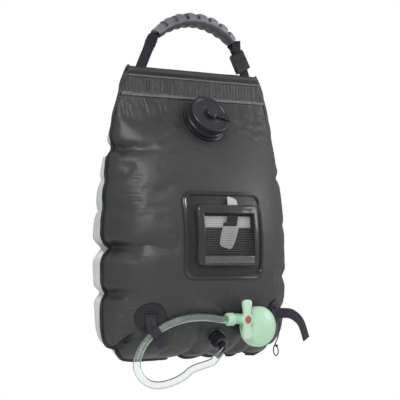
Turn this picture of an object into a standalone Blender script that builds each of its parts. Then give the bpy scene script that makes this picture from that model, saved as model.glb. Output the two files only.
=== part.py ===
"""Camp shower bag, filled: a black and white water bag on a carrying handle, with a screw fill cap,
a mesh soap pocket, a drain elbow, a clear hose and a shower head with a quarter-turn tap.

Metres, +Z up, the front faces -Y. The origin is the point under the grip where the bag hangs.
"""

import math

import bmesh
import bpy
from mathutils import Matrix, Vector

# Shared fits
GAP = 0.0003                    # between two touching pieces
RUN = 0.0004                    # round a piece that turns or slides
OVERRUN = 0.004                 # how far a cutter passes its wall
EMPTY_SIZE = 0.02
PROBE = 0.001                   # step for reading the slope of the filled bag
FLAT_ANGLE = math.radians(0.5)  # faces that differ by less than this are one flat face

# Filled bag, measured down from the hang point
HEM_TOP_Z = -0.073
HEM_HEIGHT = 0.046
BAG_BODY_HEIGHT = 0.429
HEM_HALF_WIDTH = 0.127
BAG_HALF_WIDTH = 0.178
BAG_CORNER_RADIUS = 0.055
FRONT_BULGE = 0.0925
BACK_BULGE = 0.0885
SHEET = 0.0013
SHOULDER_DEPTH_SHARE = 0.62     # of the body's height, where the bag is widest
DEEPEST_SHARE = 0.56            # of the body's height, where it is thickest
WIDTH_POWER = 0.7               # how soon the sides reach their full width
SWELL_POWER = 0.95              # how soon the top swells
BASE_POWER = 2.3                # how square the bottom is
ACROSS_POWER = 2.5              # how flat the front is across
FRONT_EDGE_POWER = 0.62         # how blunt the front is at its side seams
BACK_EDGE_POWER = 0.36          # the same on the back
SEAM_CREASE_DEG = 60.0
BAG_COLUMNS = 18
BAG_ROWS = 34
FOOT_ROWS_SHARE = 0.4           # how much closer the rows are towards the foot
CREASE_SPREAD_SHARE = 0.16      # how fast a crease widens along its length
CREASE_RIM_SHARE = 0.35         # how high the sheet stands beside a crease
CREASE_RIM_WIDTHS = 2.4
CREASE_FADE_POWER = 1.3
WELD_PULL_WIDTHS = 1.6
WELD_PULL_REACH = 0.022
SHALLOW = 0.018                 # thickness of the bag below which creases fade
HOLD_FADE = 0.014               # from a fitting's edge to where the sheet is free to crease
BAG_HEM_ROWS = 2

# Top sleeve and the rod inside it
SLEEVE_RADIUS = 0.006
ROD_RADIUS = 0.004
ROD_INSET = 0.004
SLEEVE_WALL = 0.001
SLEEVE_FLARE = 0.014
ROD_SIDES = 20
SLEEVE_STEPS = 18

# Grip and handle webbing
GRIP_HALF_LENGTH = 0.077
GRIP_SAGITTA = 0.029
GRIP_DEPTH = 0.024
GRIP_WIDTH = 0.030
GRIP_END_SHARE = 0.72
GRIP_SLOT_COUNT = 7
GRIP_SLOT_LENGTH = 0.0045
GRIP_SLOT_DEPTH = 0.006
GRIP_SLOT_WIDTH_SHARE = 0.72
GRIP_SLOTTED_SHARE = 0.78
GRIP_RIB_COUNT = 9
GRIP_RIB_DEPTH = 0.0018
GRIP_RIBBED_SHARE = 0.9
GRIP_SIDES = 16
GRIP_RADIUS = (GRIP_HALF_LENGTH ** 2 + GRIP_SAGITTA ** 2) / (2 * GRIP_SAGITTA)
GRIP_HALF_ANGLE = math.asin(GRIP_HALF_LENGTH / GRIP_RADIUS)
GRIP_ARC = GRIP_RADIUS * GRIP_HALF_ANGLE
GRIP_AXIS_Z = GRIP_DEPTH / 2
WEBBING_WIDTH = 0.019
WEBBING = 0.0016
WEBBING_FOOT_X = 0.107
WEBBING_STEPS = 16
WEBBING_TWIST_STEPS = 8
TUNNEL_WIDTH = 0.0215
TUNNEL_DEPTH = 0.0036

# Side-release buckle on the right webbing
BUCKLE_PLACE_SHARE = 0.47       # of the way up from the hem to the grip
BUCKLE_WIDTH = 0.028
BUCKLE_DEPTH = 0.009
BUCKLE_SOCKET_LENGTH = 0.021
BUCKLE_BASE_LENGTH = 0.011
BUCKLE_WALL = 0.0018
BUCKLE_BAR = 0.003
BUCKLE_EDGE = 0.0012
BUCKLE_WINDOW = 0.008
BUCKLE_WINDOW_DEPTH = 0.005
PRONG_WIDTH = 0.0036
PRONG_DEPTH = 0.004
PRONG_LENGTH = 0.0165
PRONG_SHOULDER = 0.0028
PRONG_NOSE = 0.0008
GUIDE_WIDTH = 0.0042
GUIDE_LENGTH = 0.013

# Fill neck and cap
CAP_DROP = 0.087                # from the hem's top edge to the cap's axis
CAP_SEAT = 0.0015               # how deep the flange is let into the sheet
NECK_FLANGE_RADIUS = 0.0385
NECK_FLANGE = 0.003
NECK_FLANGE_LIP = 0.0015
NECK_RADIUS = 0.0270
NECK_BORE_RADIUS = 0.0225
NECK_HEIGHT = 0.014
NECK_STEPS = 40
CAP_RADIUS = 0.0355
CAP_HEIGHT = 0.021
CAP_WALL = 0.0042
CAP_TOP = 0.0032
CAP_DISH = 0.0012
CAP_RIM_WIDTH = 0.005
CAP_FLUTES = 26
CAP_FLUTE_DEPTH = 0.0008
CAP_BOSS_RADIUS = 0.0062
CAP_BOSS_HEIGHT = 0.0045
BUTTON_RADIUS = 0.0098
BUTTON_HEIGHT = 0.0028
BUTTON_CROWN = 0.001
GASKET_STEPS = 32
GASKET_THICKNESS = 0.002
TETHER_WIDTH = 0.0095
TETHER = 0.0016
TETHER_EYE_RADIUS = 0.0105
TETHER_ANGLE_DEG = -14.0
SMALL_ROUND_STEPS = 28

# Soap pocket with its mesh window
POCKET_DROP_SHARE = 0.5789      # of the height from the hem's top edge to the foot
POCKET_WIDTH = 0.157
POCKET_HEIGHT = 0.142
POCKET_RADIUS = 0.019
POCKET_SHEET = 0.001
BINDING_WIDTH = 0.0065
BINDING_THICKNESS = 0.0032
TRAY_SIDE_INSET = 0.019         # from the pocket's edge
TRAY_END_INSET = 0.0215
TRAY_RADIUS = 0.009
TRAY_DEPTH = 0.0105
TRAY_WALL = 0.0012
WINDOW_SIDE_INSET = 0.0105      # from the tray's edge
WINDOW_END_INSET = 0.0145
WINDOW_RISE = 0.001
MESH_COLUMNS = 12
MESH_ROWS = 8
MESH_THREAD = 0.0013
MESH_LAP = 0.0025
STRIP_INSET = 0.002             # from the window's edge
STRIP_HEIGHT = 0.018
STRIP_THICKNESS = 0.0012
STRIP_RISE = 0.0215
TAG_WIDTH = 0.020
TAG_LENGTH = 0.078
TAG_THICKNESS = 0.001
TAG_LEAN_DEG = 8.0
TAG_X = -0.001
TAG_RISE = 0.022
DRAPE_STEP = 0.020

# Welded strap patches at both lower corners
PATCH_ACROSS_SHARE = 0.6938     # of the bag's half width
PATCH_RISE = 0.070              # above the foot
PATCH_RADIUS = 0.0225
PATCH_THICKNESS = 0.0014
PATCH_SIDES = 32
STRAP_WIDTH = 0.017
STRAP_THICKNESS = 0.0015
STRAP_TAIL = 0.019
STRAP_POINTS = 22
STRAP_HOLD_SHARE = 0.85
STRAP_WRAP_DEG = 190.0
STRAP_WRAP_STEPS = 8
STRAP_SPREAD_SHARE = 0.3        # of its length, where the band has turned to lie along the hose
RIGHT_STRAP_ROOT_SHARE = 0.35   # of the patch's radius
RIGHT_STRAP_END_ACROSS = (0.90, 0.15, 0.35)

# Drain: flange, elbow and ribbed nut
OUTLET_RISE = 0.035             # above the foot
OUTLET_SEAT = 0.0020            # how deep the flange is let into the sheet
OUTLET_FLANGE_RADIUS = 0.018
OUTLET_FLANGE = 0.0028
ELBOW_RADIUS = 0.0056
ELBOW_RISE = 0.030
ELBOW_REACH = 0.021
ELBOW_TURN_DEG = 47.0
BARB_RADIUS = 0.0048
BARB_RIDGE = 0.0012
BARB_RIDGES = 3
BARB_RIDGED_SHARE = 0.62
BARB_SLOPE_SHARE = 0.8
ELBOW_SIDES = 20
NUT_RADIUS = 0.0125
NUT_LENGTH = 0.017
NUT_RIBS = 16
NUT_RIB_DEPTH = 0.0012

# Hose
HOSE_RADIUS = 0.0062
HOSE_SIDES_RESOLUTION = 3
HOSE_POINTS = 34

# Shower head
HEAD_ACROSS_SHARE = 0.3573      # of the bag's half width
HEAD_RISE = 0.0515              # above the foot
HEAD_GAP = 0.01524              # in front of the sheet at the dome's upper rim
HEAD_NECK_RISE = 0.0135
NECK_LIFT = 0.0026
NECK_LAP = 0.004
DOME_RADIUS = 0.0330
DOME_HEIGHT = 0.0165
DOME_SKIRT = 0.0085
DOME_WALL = 0.0022
DOME_STEPS = 32
DOME_ARC_STEPS = 9
ROSE_THICKNESS = 0.003
ROSE_RINGS = 2
ROSE_HOLES_PER_RING = 6
ROSE_HOLE_RADIUS = 0.0011
ROSE_RIM = 0.0018
VALVE_OFFSET = 0.0390
VALVE_RADIUS = 0.0085
VALVE_FRONT = 0.0165
VALVE_BACK = 0.0105
NECK_TUBE_RADIUS = 0.0075
COLLAR_OFFSET = 0.0535
COLLAR_LENGTH = 0.0130
COLLAR_RADIUS = 0.0105
COLLAR_RIBS = 3
COLLAR_RIB = 0.0014
INLET_SHARE = 0.6               # of the collar's length that the inlet fills
HEAD_SIDES = 24
SPINDLE_RADIUS = 0.0036
SPINDLE_SHARE = 0.6             # of the housing's back part that the spindle fills
SPINDLE_SIDES = 20
LEVER_REACH = 0.0315
LEVER_HUB_RADIUS = 0.0105
LEVER_THICKNESS = 0.0058
LEVER_ROOT_WIDTH = 0.0125
LEVER_TIP_WIDTH = 0.0165
LEVER_TIP_ROUND = 0.0053
LEVER_EDGE = 0.001
LEVER_CORNER_STEPS = 4
LEVER_HUB_STEPS = 8
PLUG_RADIUS = 0.0068
PLUG_HEIGHT = 0.0022

# Thin cord on the right patch
CORD_RADIUS = 0.001
CORD_LEAD = 0.003               # the straight start of the cord, square to the patch
CORD_POINTS = 26
KNOT_RADIUS = 0.0024

# The main creases that run into the full bag from its welds. Each has where it starts, as a share of the
# half width and a rise above the foot, its direction in degrees, its length and width, how far it draws
# the weld in, and its depth.
CREASES = (
    (-1.020, 0.342, -9, 0.075, 0.0077, 0.0100, 0.0105),
    (-1.011, 0.178, 3, 0.110, 0.0083, 0.0150, 0.0120),
    (-1.011, 0.107, 1, 0.055, 0.0072, 0.0090, 0.0090),
    (-0.887, 0.025, 56, 0.050, 0.0083, 0.0090, 0.0080),
    (-0.324, 0.000, 70, 0.075, 0.0088, 0.0075, 0.0100),
    (0.405, 0.000, 76, 0.065, 0.0083, 0.0065, 0.0090),
    (0.754, 0.000, 96, 0.055, 0.0077, 0.0070, 0.0080),
    (0.877, 0.020, 124, 0.060, 0.0083, 0.0080, 0.0080),
    (1.041, 0.298, -174, 0.055, 0.0075, 0.0055, 0.0070),
    (1.011, 0.130, 177, 0.070, 0.0080, 0.0085, 0.0085),
    (-0.874, 0.427, -77, 0.070, 0.0072, 0.0000, 0.0055),
    (-0.737, 0.427, -83, 0.085, 0.0077, 0.0000, 0.0060),
)

# The route of the hose, from the drain elbow's barb round below the bag to the shower head's collar.
# Each point has its share of the bag's half width, its rise above the foot and its gap before the sheet.
HOSE_ROUTE = (
    (-0.3146, -0.0125, 0.0782),
    (-0.4157, -0.0235, 0.0772),
    (-0.5337, -0.0320, 0.0752),
    (-0.6573, -0.0355, 0.0722),
    (-0.7556, -0.0320, 0.0692),
    (-0.8315, -0.0210, 0.0662),
    (-0.8596, -0.0080, 0.0637),
    (-0.8483, 0.0050, 0.0617),
    (-0.8174, 0.0175, 0.0412),
    (-0.7697, 0.0300, 0.0267),
    (-0.7022, 0.0415, 0.0159),
    (-0.6152, 0.0525, 0.0099),
    (-0.5253, 0.0615, 0.0109),
    (-0.4213, 0.0675, 0.0141),
    (-0.3034, 0.0695, 0.0158),
    (-0.1854, 0.0680, 0.0166),
)

# The way of the free strap's middle line, measured from its root on the right patch
RIGHT_STRAP_STEPS = (
    (0.010, -0.008, 0.001),
    (0.022, -0.014, -0.002),
    (0.038, -0.016, -0.016),
    (0.052, -0.013, -0.044),
)

# The route of the thin cord, from the right patch down to its loop, in the same measures
CORD_ROUTE = (
    (0.7781, 0.0480, 0.0096),
    (0.7725, 0.0370, 0.0139),
    (0.7556, 0.0270, 0.0185),
    (0.7303, 0.0190, 0.0229),
    (0.7090, 0.0110, 0.0298),
    (0.7051, 0.0040, 0.0418),
    (0.7219, -0.0010, 0.0547),
    (0.7472, 0.0015, 0.0522),
    (0.7556, 0.0075, 0.0403),
    (0.7427, 0.0130, 0.0319),
)

for leftover in list(bpy.data.objects):
    bpy.data.objects.remove(leftover, do_unlink=True)

parts = bpy.data.collections.new("camp_shower_bag")
bpy.context.scene.collection.children.link(parts)
cutters = bpy.data.collections.new("cutters")
bpy.context.scene.collection.children.link(cutters)


# Finishes


def material(name, color, roughness, metallic=0.0, alpha=1.0):
    made = bpy.data.materials.get(name)
    if made:
        return made
    made = bpy.data.materials.new(name)
    made.use_nodes = True
    shader = made.node_tree.nodes["Principled BSDF"]
    shader.inputs["Base Color"].default_value = (*color, 1.0)
    shader.inputs["Roughness"].default_value = roughness
    shader.inputs["Metallic"].default_value = metallic
    shader.inputs["Alpha"].default_value = alpha
    made.diffuse_color = (*color, alpha)
    return made


def black_sheet():
    return material("black_pvc_sheet", (0.055, 0.055, 0.057), 0.48)


def white_sheet():
    return material("white_pvc_sheet", (0.80, 0.86, 0.84), 0.35)


def black_webbing():
    return material("black_webbing", (0.025, 0.023, 0.030), 0.85)


def grip_rubber():
    return material("grip_rubber", (0.10, 0.10, 0.11), 0.55)


def black_plastic():
    return material("black_plastic", (0.030, 0.028, 0.033), 0.38)


def clear_pvc():
    return material("clear_pvc", (0.75, 0.82, 0.80), 0.12, alpha=0.4)


def green_plastic():
    return material("pale_green_plastic", (0.50, 0.78, 0.60), 0.34)


def lever_plastic():
    return material("lever_green_plastic", (0.58, 0.83, 0.68), 0.36)


def plug_plastic():
    return material("plug_red_plastic", (0.45, 0.16, 0.10), 0.40)


def rod_plastic():
    return material("rod_plastic", (0.12, 0.12, 0.12), 0.5)


def white_plastic():
    return material("white_card", (0.85, 0.85, 0.84), 0.5)


def seal_rubber():
    return material("seal_rubber", (0.03, 0.03, 0.03), 0.7)


# Object helpers


def add_object(name, data, finish, place=None, collection=None):
    made = bpy.data.objects.new(name, data)
    (collection or parts).objects.link(made)
    if finish:
        made.data.materials.append(finish)
    if place is not None:
        made.matrix_world = place
    return made


def mesh_from(bm, name):
    data = bpy.data.meshes.new(name)
    bm.to_mesh(data)
    bm.free()
    return data


def shade_round(made, angle_deg=40.0):
    made.data.shade_smooth()
    made.data.set_sharp_from_angle(angle=math.radians(angle_deg))
    return made


def frozen(made):
    """The object with its modifiers applied, as a plain mesh under the same name."""
    bpy.context.view_layer.update()
    graph = bpy.context.evaluated_depsgraph_get()
    data = bpy.data.meshes.new_from_object(made.evaluated_get(graph))
    bm = bmesh.new()
    bm.from_mesh(data)
    bmesh.ops.remove_doubles(bm, verts=bm.verts, dist=GAP / 10)
    bm.to_mesh(data)
    bm.free()
    name = made.name
    matrix = made.matrix_world.copy()
    materials = [slot.material for slot in made.material_slots]
    collection = made.users_collection[0]
    bpy.data.objects.remove(made, do_unlink=True)
    copy = bpy.data.objects.new(name, data)
    collection.objects.link(copy)
    copy.matrix_world = matrix
    data.materials.clear()
    for used in materials:
        data.materials.append(used)
    return copy


def cutter(made):
    if made.name in parts.objects:
        parts.objects.unlink(made)
        cutters.objects.link(made)
    made.hide_render = True
    made.display_type = "WIRE"
    return made


def boolean(target, tool, operation):
    change = target.modifiers.new(operation.lower(), "BOOLEAN")
    change.operation = operation
    change.solver = "EXACT"
    change.object = cutter(tool)
    return target


def cut(target, tool):
    return boolean(target, tool, "DIFFERENCE")


def join(target, tool):
    return boolean(target, tool, "UNION")


def round_edges(made, width, segments=2, angle_deg=40.0):
    edge = made.modifiers.new("edges", "BEVEL")
    edge.width = width
    edge.segments = segments
    edge.limit_method = "ANGLE"
    edge.angle_limit = math.radians(angle_deg)
    return made


def box(name, finish, size, centre=(0, 0, 0), place=None):
    bm = bmesh.new()
    bmesh.ops.create_cube(bm, size=1.0)
    bmesh.ops.scale(bm, vec=size, verts=bm.verts)
    bmesh.ops.translate(bm, vec=centre, verts=bm.verts)
    return add_object(name, mesh_from(bm, name), finish, place)


def rod(name, finish, radius, low, high, place=None, sides=24, top_radius=None):
    """A cylinder or cone along the local Z, from low to high."""
    bm = bmesh.new()
    bmesh.ops.create_cone(
        bm, cap_ends=True, segments=sides, radius1=radius,
        radius2=radius if top_radius is None else top_radius, depth=high - low,
    )
    bmesh.ops.translate(bm, vec=(0, 0, (low + high) / 2), verts=bm.verts)
    return add_object(name, mesh_from(bm, name), finish, place)


def turned(name, finish, profile, steps, place=None):
    """A profile of (radius, height) points, running down its outer side, turned about the local Z."""
    bm = bmesh.new()
    corners = [bm.verts.new((radius, 0, height)) for radius, height in profile]
    for first, second in zip(corners, corners[1:] + corners[:1]):
        if first.co.x > 0 or second.co.x > 0:
            bm.edges.new((first, second))
    made = add_object(name, mesh_from(bm, name), finish, place)
    screw = made.modifiers.new("turn", "SCREW")
    screw.steps = steps
    screw.render_steps = steps
    screw.use_merge_vertices = True
    screw.merge_threshold = GAP / 10
    return made


def flat_shape(name, finish, outlines, thickness, place=None):
    """A plate from closed outlines in the local XY plane, from z = 0 up to its thickness."""
    curve = bpy.data.curves.new(name, "CURVE")
    curve.dimensions = "2D"
    curve.fill_mode = "BOTH"
    curve.extrude = thickness / 2
    for outline in outlines:
        spline = curve.splines.new("POLY")
        spline.points.add(len(outline) - 1)
        for point, (x, y) in zip(spline.points, outline):
            point.co = (x, y, 0, 1)
        spline.use_cyclic_u = True
    made = frozen(add_object(name, curve, finish))
    made.data.transform(Matrix.Translation((0, 0, thickness / 2)))
    if place is not None:
        made.matrix_world = place
    return made


def circle_outline(radius, sides):
    turns = [2 * math.pi * step / sides for step in range(sides)]
    return [(radius * math.cos(turn), radius * math.sin(turn)) for turn in turns]


def rounded_outline(width, height, radius, corner_steps=4):
    points = []
    for quarter in range(4):
        turn = quarter * math.pi / 2
        sign_x = (1, -1, -1, 1)[quarter]
        sign_y = (1, 1, -1, -1)[quarter]
        for step in range(corner_steps + 1):
            angle = turn + step / corner_steps * math.pi / 2
            points.append((
                sign_x * (width / 2 - radius) + radius * math.cos(angle),
                sign_y * (height / 2 - radius) + radius * math.sin(angle),
            ))
    return points


def smooth_route(points, count):
    """Points read at an even spacing from one smooth curve through the given points."""
    knots = [Vector(point) for point in points]
    knots = [2 * knots[0] - knots[1], *knots, 2 * knots[-1] - knots[-2]]
    dense = []
    pieces_per_span = 24
    for before, start, end, after in zip(knots, knots[1:], knots[2:], knots[3:]):
        for step in range(pieces_per_span):
            t = step / pieces_per_span
            dense.append(
                0.5 * (2 * start + (end - before) * t
                       + (2 * before - 5 * start + 4 * end - after) * t ** 2
                       + (3 * start - before - 3 * end + after) * t ** 3)
            )
    dense.append(knots[-2])
    travelled = [0.0]
    for first, second in zip(dense, dense[1:]):
        travelled.append(travelled[-1] + (second - first).length)
    spaced = []
    place = 0
    for step in range(count):
        target = travelled[-1] * step / (count - 1)
        while place < len(dense) - 2 and travelled[place + 1] < target:
            place += 1
        span = travelled[place + 1] - travelled[place]
        spaced.append(dense[place].lerp(dense[place + 1], (target - travelled[place]) / span))
    return spaced


def tube(name, finish, points, radius, resolution):
    curve = bpy.data.curves.new(name, "CURVE")
    curve.dimensions = "3D"
    curve.bevel_depth = radius
    curve.bevel_resolution = resolution
    curve.use_fill_caps = True
    spline = curve.splines.new("POLY")
    spline.points.add(len(points) - 1)
    for point, place in zip(spline.points, points):
        point.co = (*place, 1)
    return add_object(name, curve, finish)


def ribbon(name, finish, centres, across, width, thickness):
    """A flat band through the centre points, each with its own direction across the band."""
    bm = bmesh.new()
    bmesh.ops.create_grid(bm, x_segments=len(centres) - 1, y_segments=1, size=1.0)
    for vertex in bm.verts:
        number = round((vertex.co.x + 1) / 2 * (len(centres) - 1))
        side = 1 if vertex.co.y > 0 else -1
        vertex.co = Vector(centres[number]) + side * width / 2 * Vector(across[number]).normalized()
    bmesh.ops.recalc_face_normals(bm, faces=bm.faces)
    made = add_object(name, mesh_from(bm, name), finish)
    solid = made.modifiers.new("thickness", "SOLIDIFY")
    solid.thickness = thickness
    solid.offset = 0
    solid.use_even_offset = True
    return made


# The filled bag's form, which every fitting on it follows


def bag_half_width(z):
    """Half the bag's width at a height: narrow at the hem, round at the bottom corners."""
    fall = max(0.0, HEM_TOP_Z - z)
    body = HEM_HEIGHT + BAG_BODY_HEIGHT
    spread = min(1.0, fall / (body * SHOULDER_DEPTH_SHARE))
    width = HEM_HALF_WIDTH + (BAG_HALF_WIDTH - HEM_HALF_WIDTH) * math.sin(spread * math.pi / 2) ** WIDTH_POWER
    corner = max(0.0, fall - (body - BAG_CORNER_RADIUS)) / BAG_CORNER_RADIUS
    return width - BAG_CORNER_RADIUS * (1 - math.sqrt(max(0.0, 1 - min(1.0, corner) ** 2)))


def bag_swell(z):
    """How full the bag is at a height, from 0 at the hem and the bottom seam to 1."""
    down = (HEM_TOP_Z - HEM_HEIGHT - z) / BAG_BODY_HEIGHT
    if down <= 0 or down >= 1:
        return 0.0
    if down < DEEPEST_SHARE:
        return math.sin(down / DEEPEST_SHARE * math.pi / 2) ** SWELL_POWER
    low = (down - DEEPEST_SHARE) / (1 - DEEPEST_SHARE)
    return (1 - low ** BASE_POWER) ** (1 / BASE_POWER)


def bag_surface(x, z, bulge, side):
    """The y of the sheet's outer face; side is -1 for the front and 1 for the back."""
    across = min(1.0, abs(x) / bag_half_width(z))
    round_off = (1 - across ** ACROSS_POWER) ** (FRONT_EDGE_POWER if side < 0 else BACK_EDGE_POWER)
    return side * (SHEET + bulge * bag_swell(z) * round_off)


def front_y(x, z):
    return bag_surface(x, z, FRONT_BULGE, -1)


def foot_z():
    return HEM_TOP_Z - HEM_HEIGHT - BAG_BODY_HEIGHT


def off_front(across_share, rise, gap):
    """A point before the front sheet, placed by its share of the half width and its rise above the foot."""
    x = across_share * BAG_HALF_WIDTH
    z = foot_z() + rise
    if abs(x) >= bag_half_width(max(z, foot_z())):
        return Vector((x, -SHEET - gap, z))
    return Vector((x, front_y(x, z) - gap, z))


def front_frame(x, z, seat=0.0):
    """A frame on the front sheet: local Z points out of the bag, local X across it."""
    here = Vector((x, front_y(x, z), z))
    along_x = Vector((x + PROBE, front_y(x + PROBE, z), z)) - here
    along_z = Vector((x, front_y(x, z + PROBE), z + PROBE)) - here
    outward = along_x.cross(along_z).normalized()
    across = (along_x - along_x.dot(outward) * outward).normalized()
    upward = outward.cross(across)
    here -= outward * seat
    frame = Matrix((across, upward, outward)).transposed().to_4x4()
    frame.translation = here
    return frame


def drape(made, centre_x, centre_z):
    """Bends a flat plate, drawn in its local XY with Z outward, over the front of the bag."""
    bm = bmesh.new()
    bm.from_mesh(made.data)
    bmesh.ops.dissolve_limit(bm, angle_limit=FLAT_ANGLE, verts=bm.verts, edges=bm.edges)
    for axis, centre in ((0, centre_x), (1, centre_z)):
        low = centre + min(vertex.co[axis] for vertex in bm.verts)
        high = centre + max(vertex.co[axis] for vertex in bm.verts)
        for number in range(math.ceil(low / DRAPE_STEP), math.ceil(high / DRAPE_STEP)):
            normal = [0, 0, 0]
            normal[axis] = 1
            point = [0, 0, 0]
            point[axis] = number * DRAPE_STEP - centre
            bmesh.ops.bisect_plane(
                bm, geom=bm.verts[:] + bm.edges[:] + bm.faces[:], dist=GAP / 10,
                plane_co=point, plane_no=normal,
            )
    bm.to_mesh(made.data)
    bm.free()
    return lay_on_front(made, centre_x, centre_z)


def lay_on_front(made, centre_x, centre_z):
    """Moves each point of a flat plate onto the front of the bag."""
    bm = bmesh.new()
    bm.from_mesh(made.data)
    for vertex in bm.verts:
        x = centre_x + vertex.co.x
        z = centre_z + vertex.co.y
        vertex.co = (x, front_y(x, z) - GAP - vertex.co.z, z)
    bmesh.ops.recalc_face_normals(bm, faces=bm.faces)
    bm.to_mesh(made.data)
    bm.free()
    return made


# Bag body


def held(x, z):
    """1 where a fitting is welded to the front, falling to 0 a little way outside it."""
    places = [
        (0, HEM_TOP_Z - CAP_DROP, NECK_FLANGE_RADIUS, NECK_FLANGE_RADIUS),
        (0, pocket_z(), POCKET_WIDTH / 2, POCKET_HEIGHT / 2),
        (*patch_place(-1), PATCH_RADIUS, PATCH_RADIUS),
        (*patch_place(1), PATCH_RADIUS, PATCH_RADIUS),
        (0, foot_z() + OUTLET_RISE, OUTLET_FLANGE_RADIUS, OUTLET_FLANGE_RADIUS),
    ]
    most = 0.0
    for middle_x, middle_z, half_x, half_z in places:
        away = math.hypot(max(0.0, abs(x - middle_x) - half_x), max(0.0, abs(z - middle_z) - half_z))
        most = max(most, 1 - min(1.0, away / HOLD_FADE))
    return most


def creased(x, y, z, side):
    """Moves a point of a sheet into the creases that run in from the welds."""
    freedom = min(1.0, abs(y) / SHALLOW) * (1 - (held(x, z) if side < 0 else 0))
    hollow = 0
    for across_share, rise, way_deg, reach, width, pull, depth in CREASES:
        start_z = foot_z() + rise
        start_x = across_share * bag_half_width(start_z)
        way_x = math.cos(math.radians(way_deg))
        way_z = math.sin(math.radians(way_deg))
        along = (x - start_x) * way_x + (z - start_z) * way_z
        across = (x - start_x) * way_z - (z - start_z) * way_x
        if along > reach:
            continue
        inward = max(0.0, along)
        spread = width + CREASE_SPREAD_SHARE * inward
        rim = CREASE_RIM_SHARE * math.exp(-(across / (CREASE_RIM_WIDTHS * spread)) ** 2)
        valley = math.exp(-(across / spread) ** 2) - rim
        hollow += depth * valley * (1 - inward / reach) ** CREASE_FADE_POWER
        drawn = pull * math.exp(-(across / (width * WELD_PULL_WIDTHS)) ** 2 - (inward / WELD_PULL_REACH) ** 2)
        x += drawn * way_x
        z += drawn * way_z
    return x, side * max(SHEET, abs(y) - hollow * freedom), z


def bag_row_z(row):
    """The height of a row of the sheets' grid: a few flat rows in the hem, then closer towards the bottom."""
    weld = HEM_TOP_Z - HEM_HEIGHT
    if row <= BAG_HEM_ROWS:
        top = HEM_TOP_Z - 2 * SLEEVE_RADIUS - SLEEVE_WALL - 2 * GAP
        return top + (weld - top) * row / BAG_HEM_ROWS
    share = (row - BAG_HEM_ROWS) / (BAG_ROWS - BAG_HEM_ROWS)
    closer = math.sin(share * math.pi / 2)
    return weld - BAG_BODY_HEIGHT * (share + FOOT_ROWS_SHARE * (closer - share))


def bag_half(name, finish, bulge, side):
    """One sheet of the bag with the water behind it, closed at the plane of the seams."""
    bm = bmesh.new()
    bmesh.ops.create_grid(bm, x_segments=BAG_COLUMNS, y_segments=BAG_ROWS, size=1.0)
    for vertex in bm.verts:
        z = bag_row_z(round((1 - vertex.co.y) / 2 * BAG_ROWS))
        across = math.sin(vertex.co.x * math.pi / 2)
        x = across * bag_half_width(z)
        vertex.co = creased(x, bag_surface(x, z, bulge, side), z, side)
    skin = bmesh.ops.extrude_face_region(bm, geom=bm.faces[:])
    flat = [item for item in skin["geom"] if isinstance(item, bmesh.types.BMVert)]
    for vertex in flat:
        vertex.co.y = side * GAP / 2
    backs = [item for item in skin["geom"] if isinstance(item, bmesh.types.BMFace)]
    bmesh.ops.dissolve_faces(bm, faces=backs)
    bmesh.ops.recalc_face_normals(bm, faces=bm.faces)
    return shade_round(add_object(name, mesh_from(bm, name), finish), SEAM_CREASE_DEG)


def top_sleeve():
    """The welded hem: a tube for the rod over a skirt that grips both sheets."""
    skirt_inner = SHEET + 2 * GAP
    skirt_outer = skirt_inner + SLEEVE_WALL
    skirt_low = SLEEVE_RADIUS - HEM_HEIGHT
    skirt_high = -SLEEVE_RADIUS - SLEEVE_WALL
    arc_start = math.asin(skirt_outer / SLEEVE_RADIUS)
    outline = []
    for step in range(SLEEVE_STEPS + 1):
        angle = -math.pi / 2 + arc_start + step / SLEEVE_STEPS * 2 * (math.pi - arc_start)
        outline.append((SLEEVE_RADIUS * math.cos(angle), SLEEVE_RADIUS * math.sin(angle)))
    outline += [
        (-skirt_outer, skirt_low),
        (-skirt_inner, skirt_low),
        (-skirt_inner, skirt_high),
        (skirt_inner, skirt_high),
        (skirt_inner, skirt_low),
        (skirt_outer, skirt_low),
    ]
    bore = circle_outline(ROD_RADIUS + GAP, ROD_SIDES)
    made = flat_shape("top_sleeve", black_sheet(), [outline, bore], 2 * HEM_HALF_WIDTH)
    made.data.transform(Matrix(((0, 0, 1, -HEM_HALF_WIDTH), (1, 0, 0, 0), (0, 1, 0, 0), (0, 0, 0, 1))))
    centre_z = HEM_TOP_Z - SLEEVE_RADIUS
    for vertex in made.data.vertices:
        drop = max(0.0, -vertex.co.z) / HEM_HEIGHT
        vertex.co.x *= 1 + SLEEVE_FLARE / HEM_HALF_WIDTH * drop
        vertex.co.z += centre_z
    return shade_round(made, 30.0)


def hanger_rod():
    place = Matrix.Translation((0, 0, HEM_TOP_Z - SLEEVE_RADIUS)) @ Matrix.Rotation(math.pi / 2, 4, "Y")
    length = HEM_HALF_WIDTH - ROD_INSET
    made = rod("hanger_rod", rod_plastic(), ROD_RADIUS, -length, length, place, ROD_SIDES)
    return shade_round(made)


# Handle


def on_grip_arc(along, rise=0.0):
    """A point on the grip's bent centre line, or above it."""
    angle = along / GRIP_RADIUS
    radius = GRIP_RADIUS + rise
    return Vector((radius * math.sin(angle), 0, GRIP_AXIS_Z - GRIP_RADIUS + radius * math.cos(angle)))


def bend_to_arc(made):
    for vertex in made.data.vertices:
        bent = on_grip_arc(vertex.co.x, vertex.co.z)
        vertex.co = (bent.x, vertex.co.y, bent.z)
    return made


def slice_grip(bm, rings):
    """Cuts a straight grip into rings, so that it can be bent."""
    for number in range(1, rings):
        bmesh.ops.bisect_plane(
            bm, geom=bm.verts[:] + bm.edges[:] + bm.faces[:], dist=GAP / 10,
            plane_co=(GRIP_ARC * (2 * number / rings - 1), 0, 0), plane_no=(1, 0, 0),
        )


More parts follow.
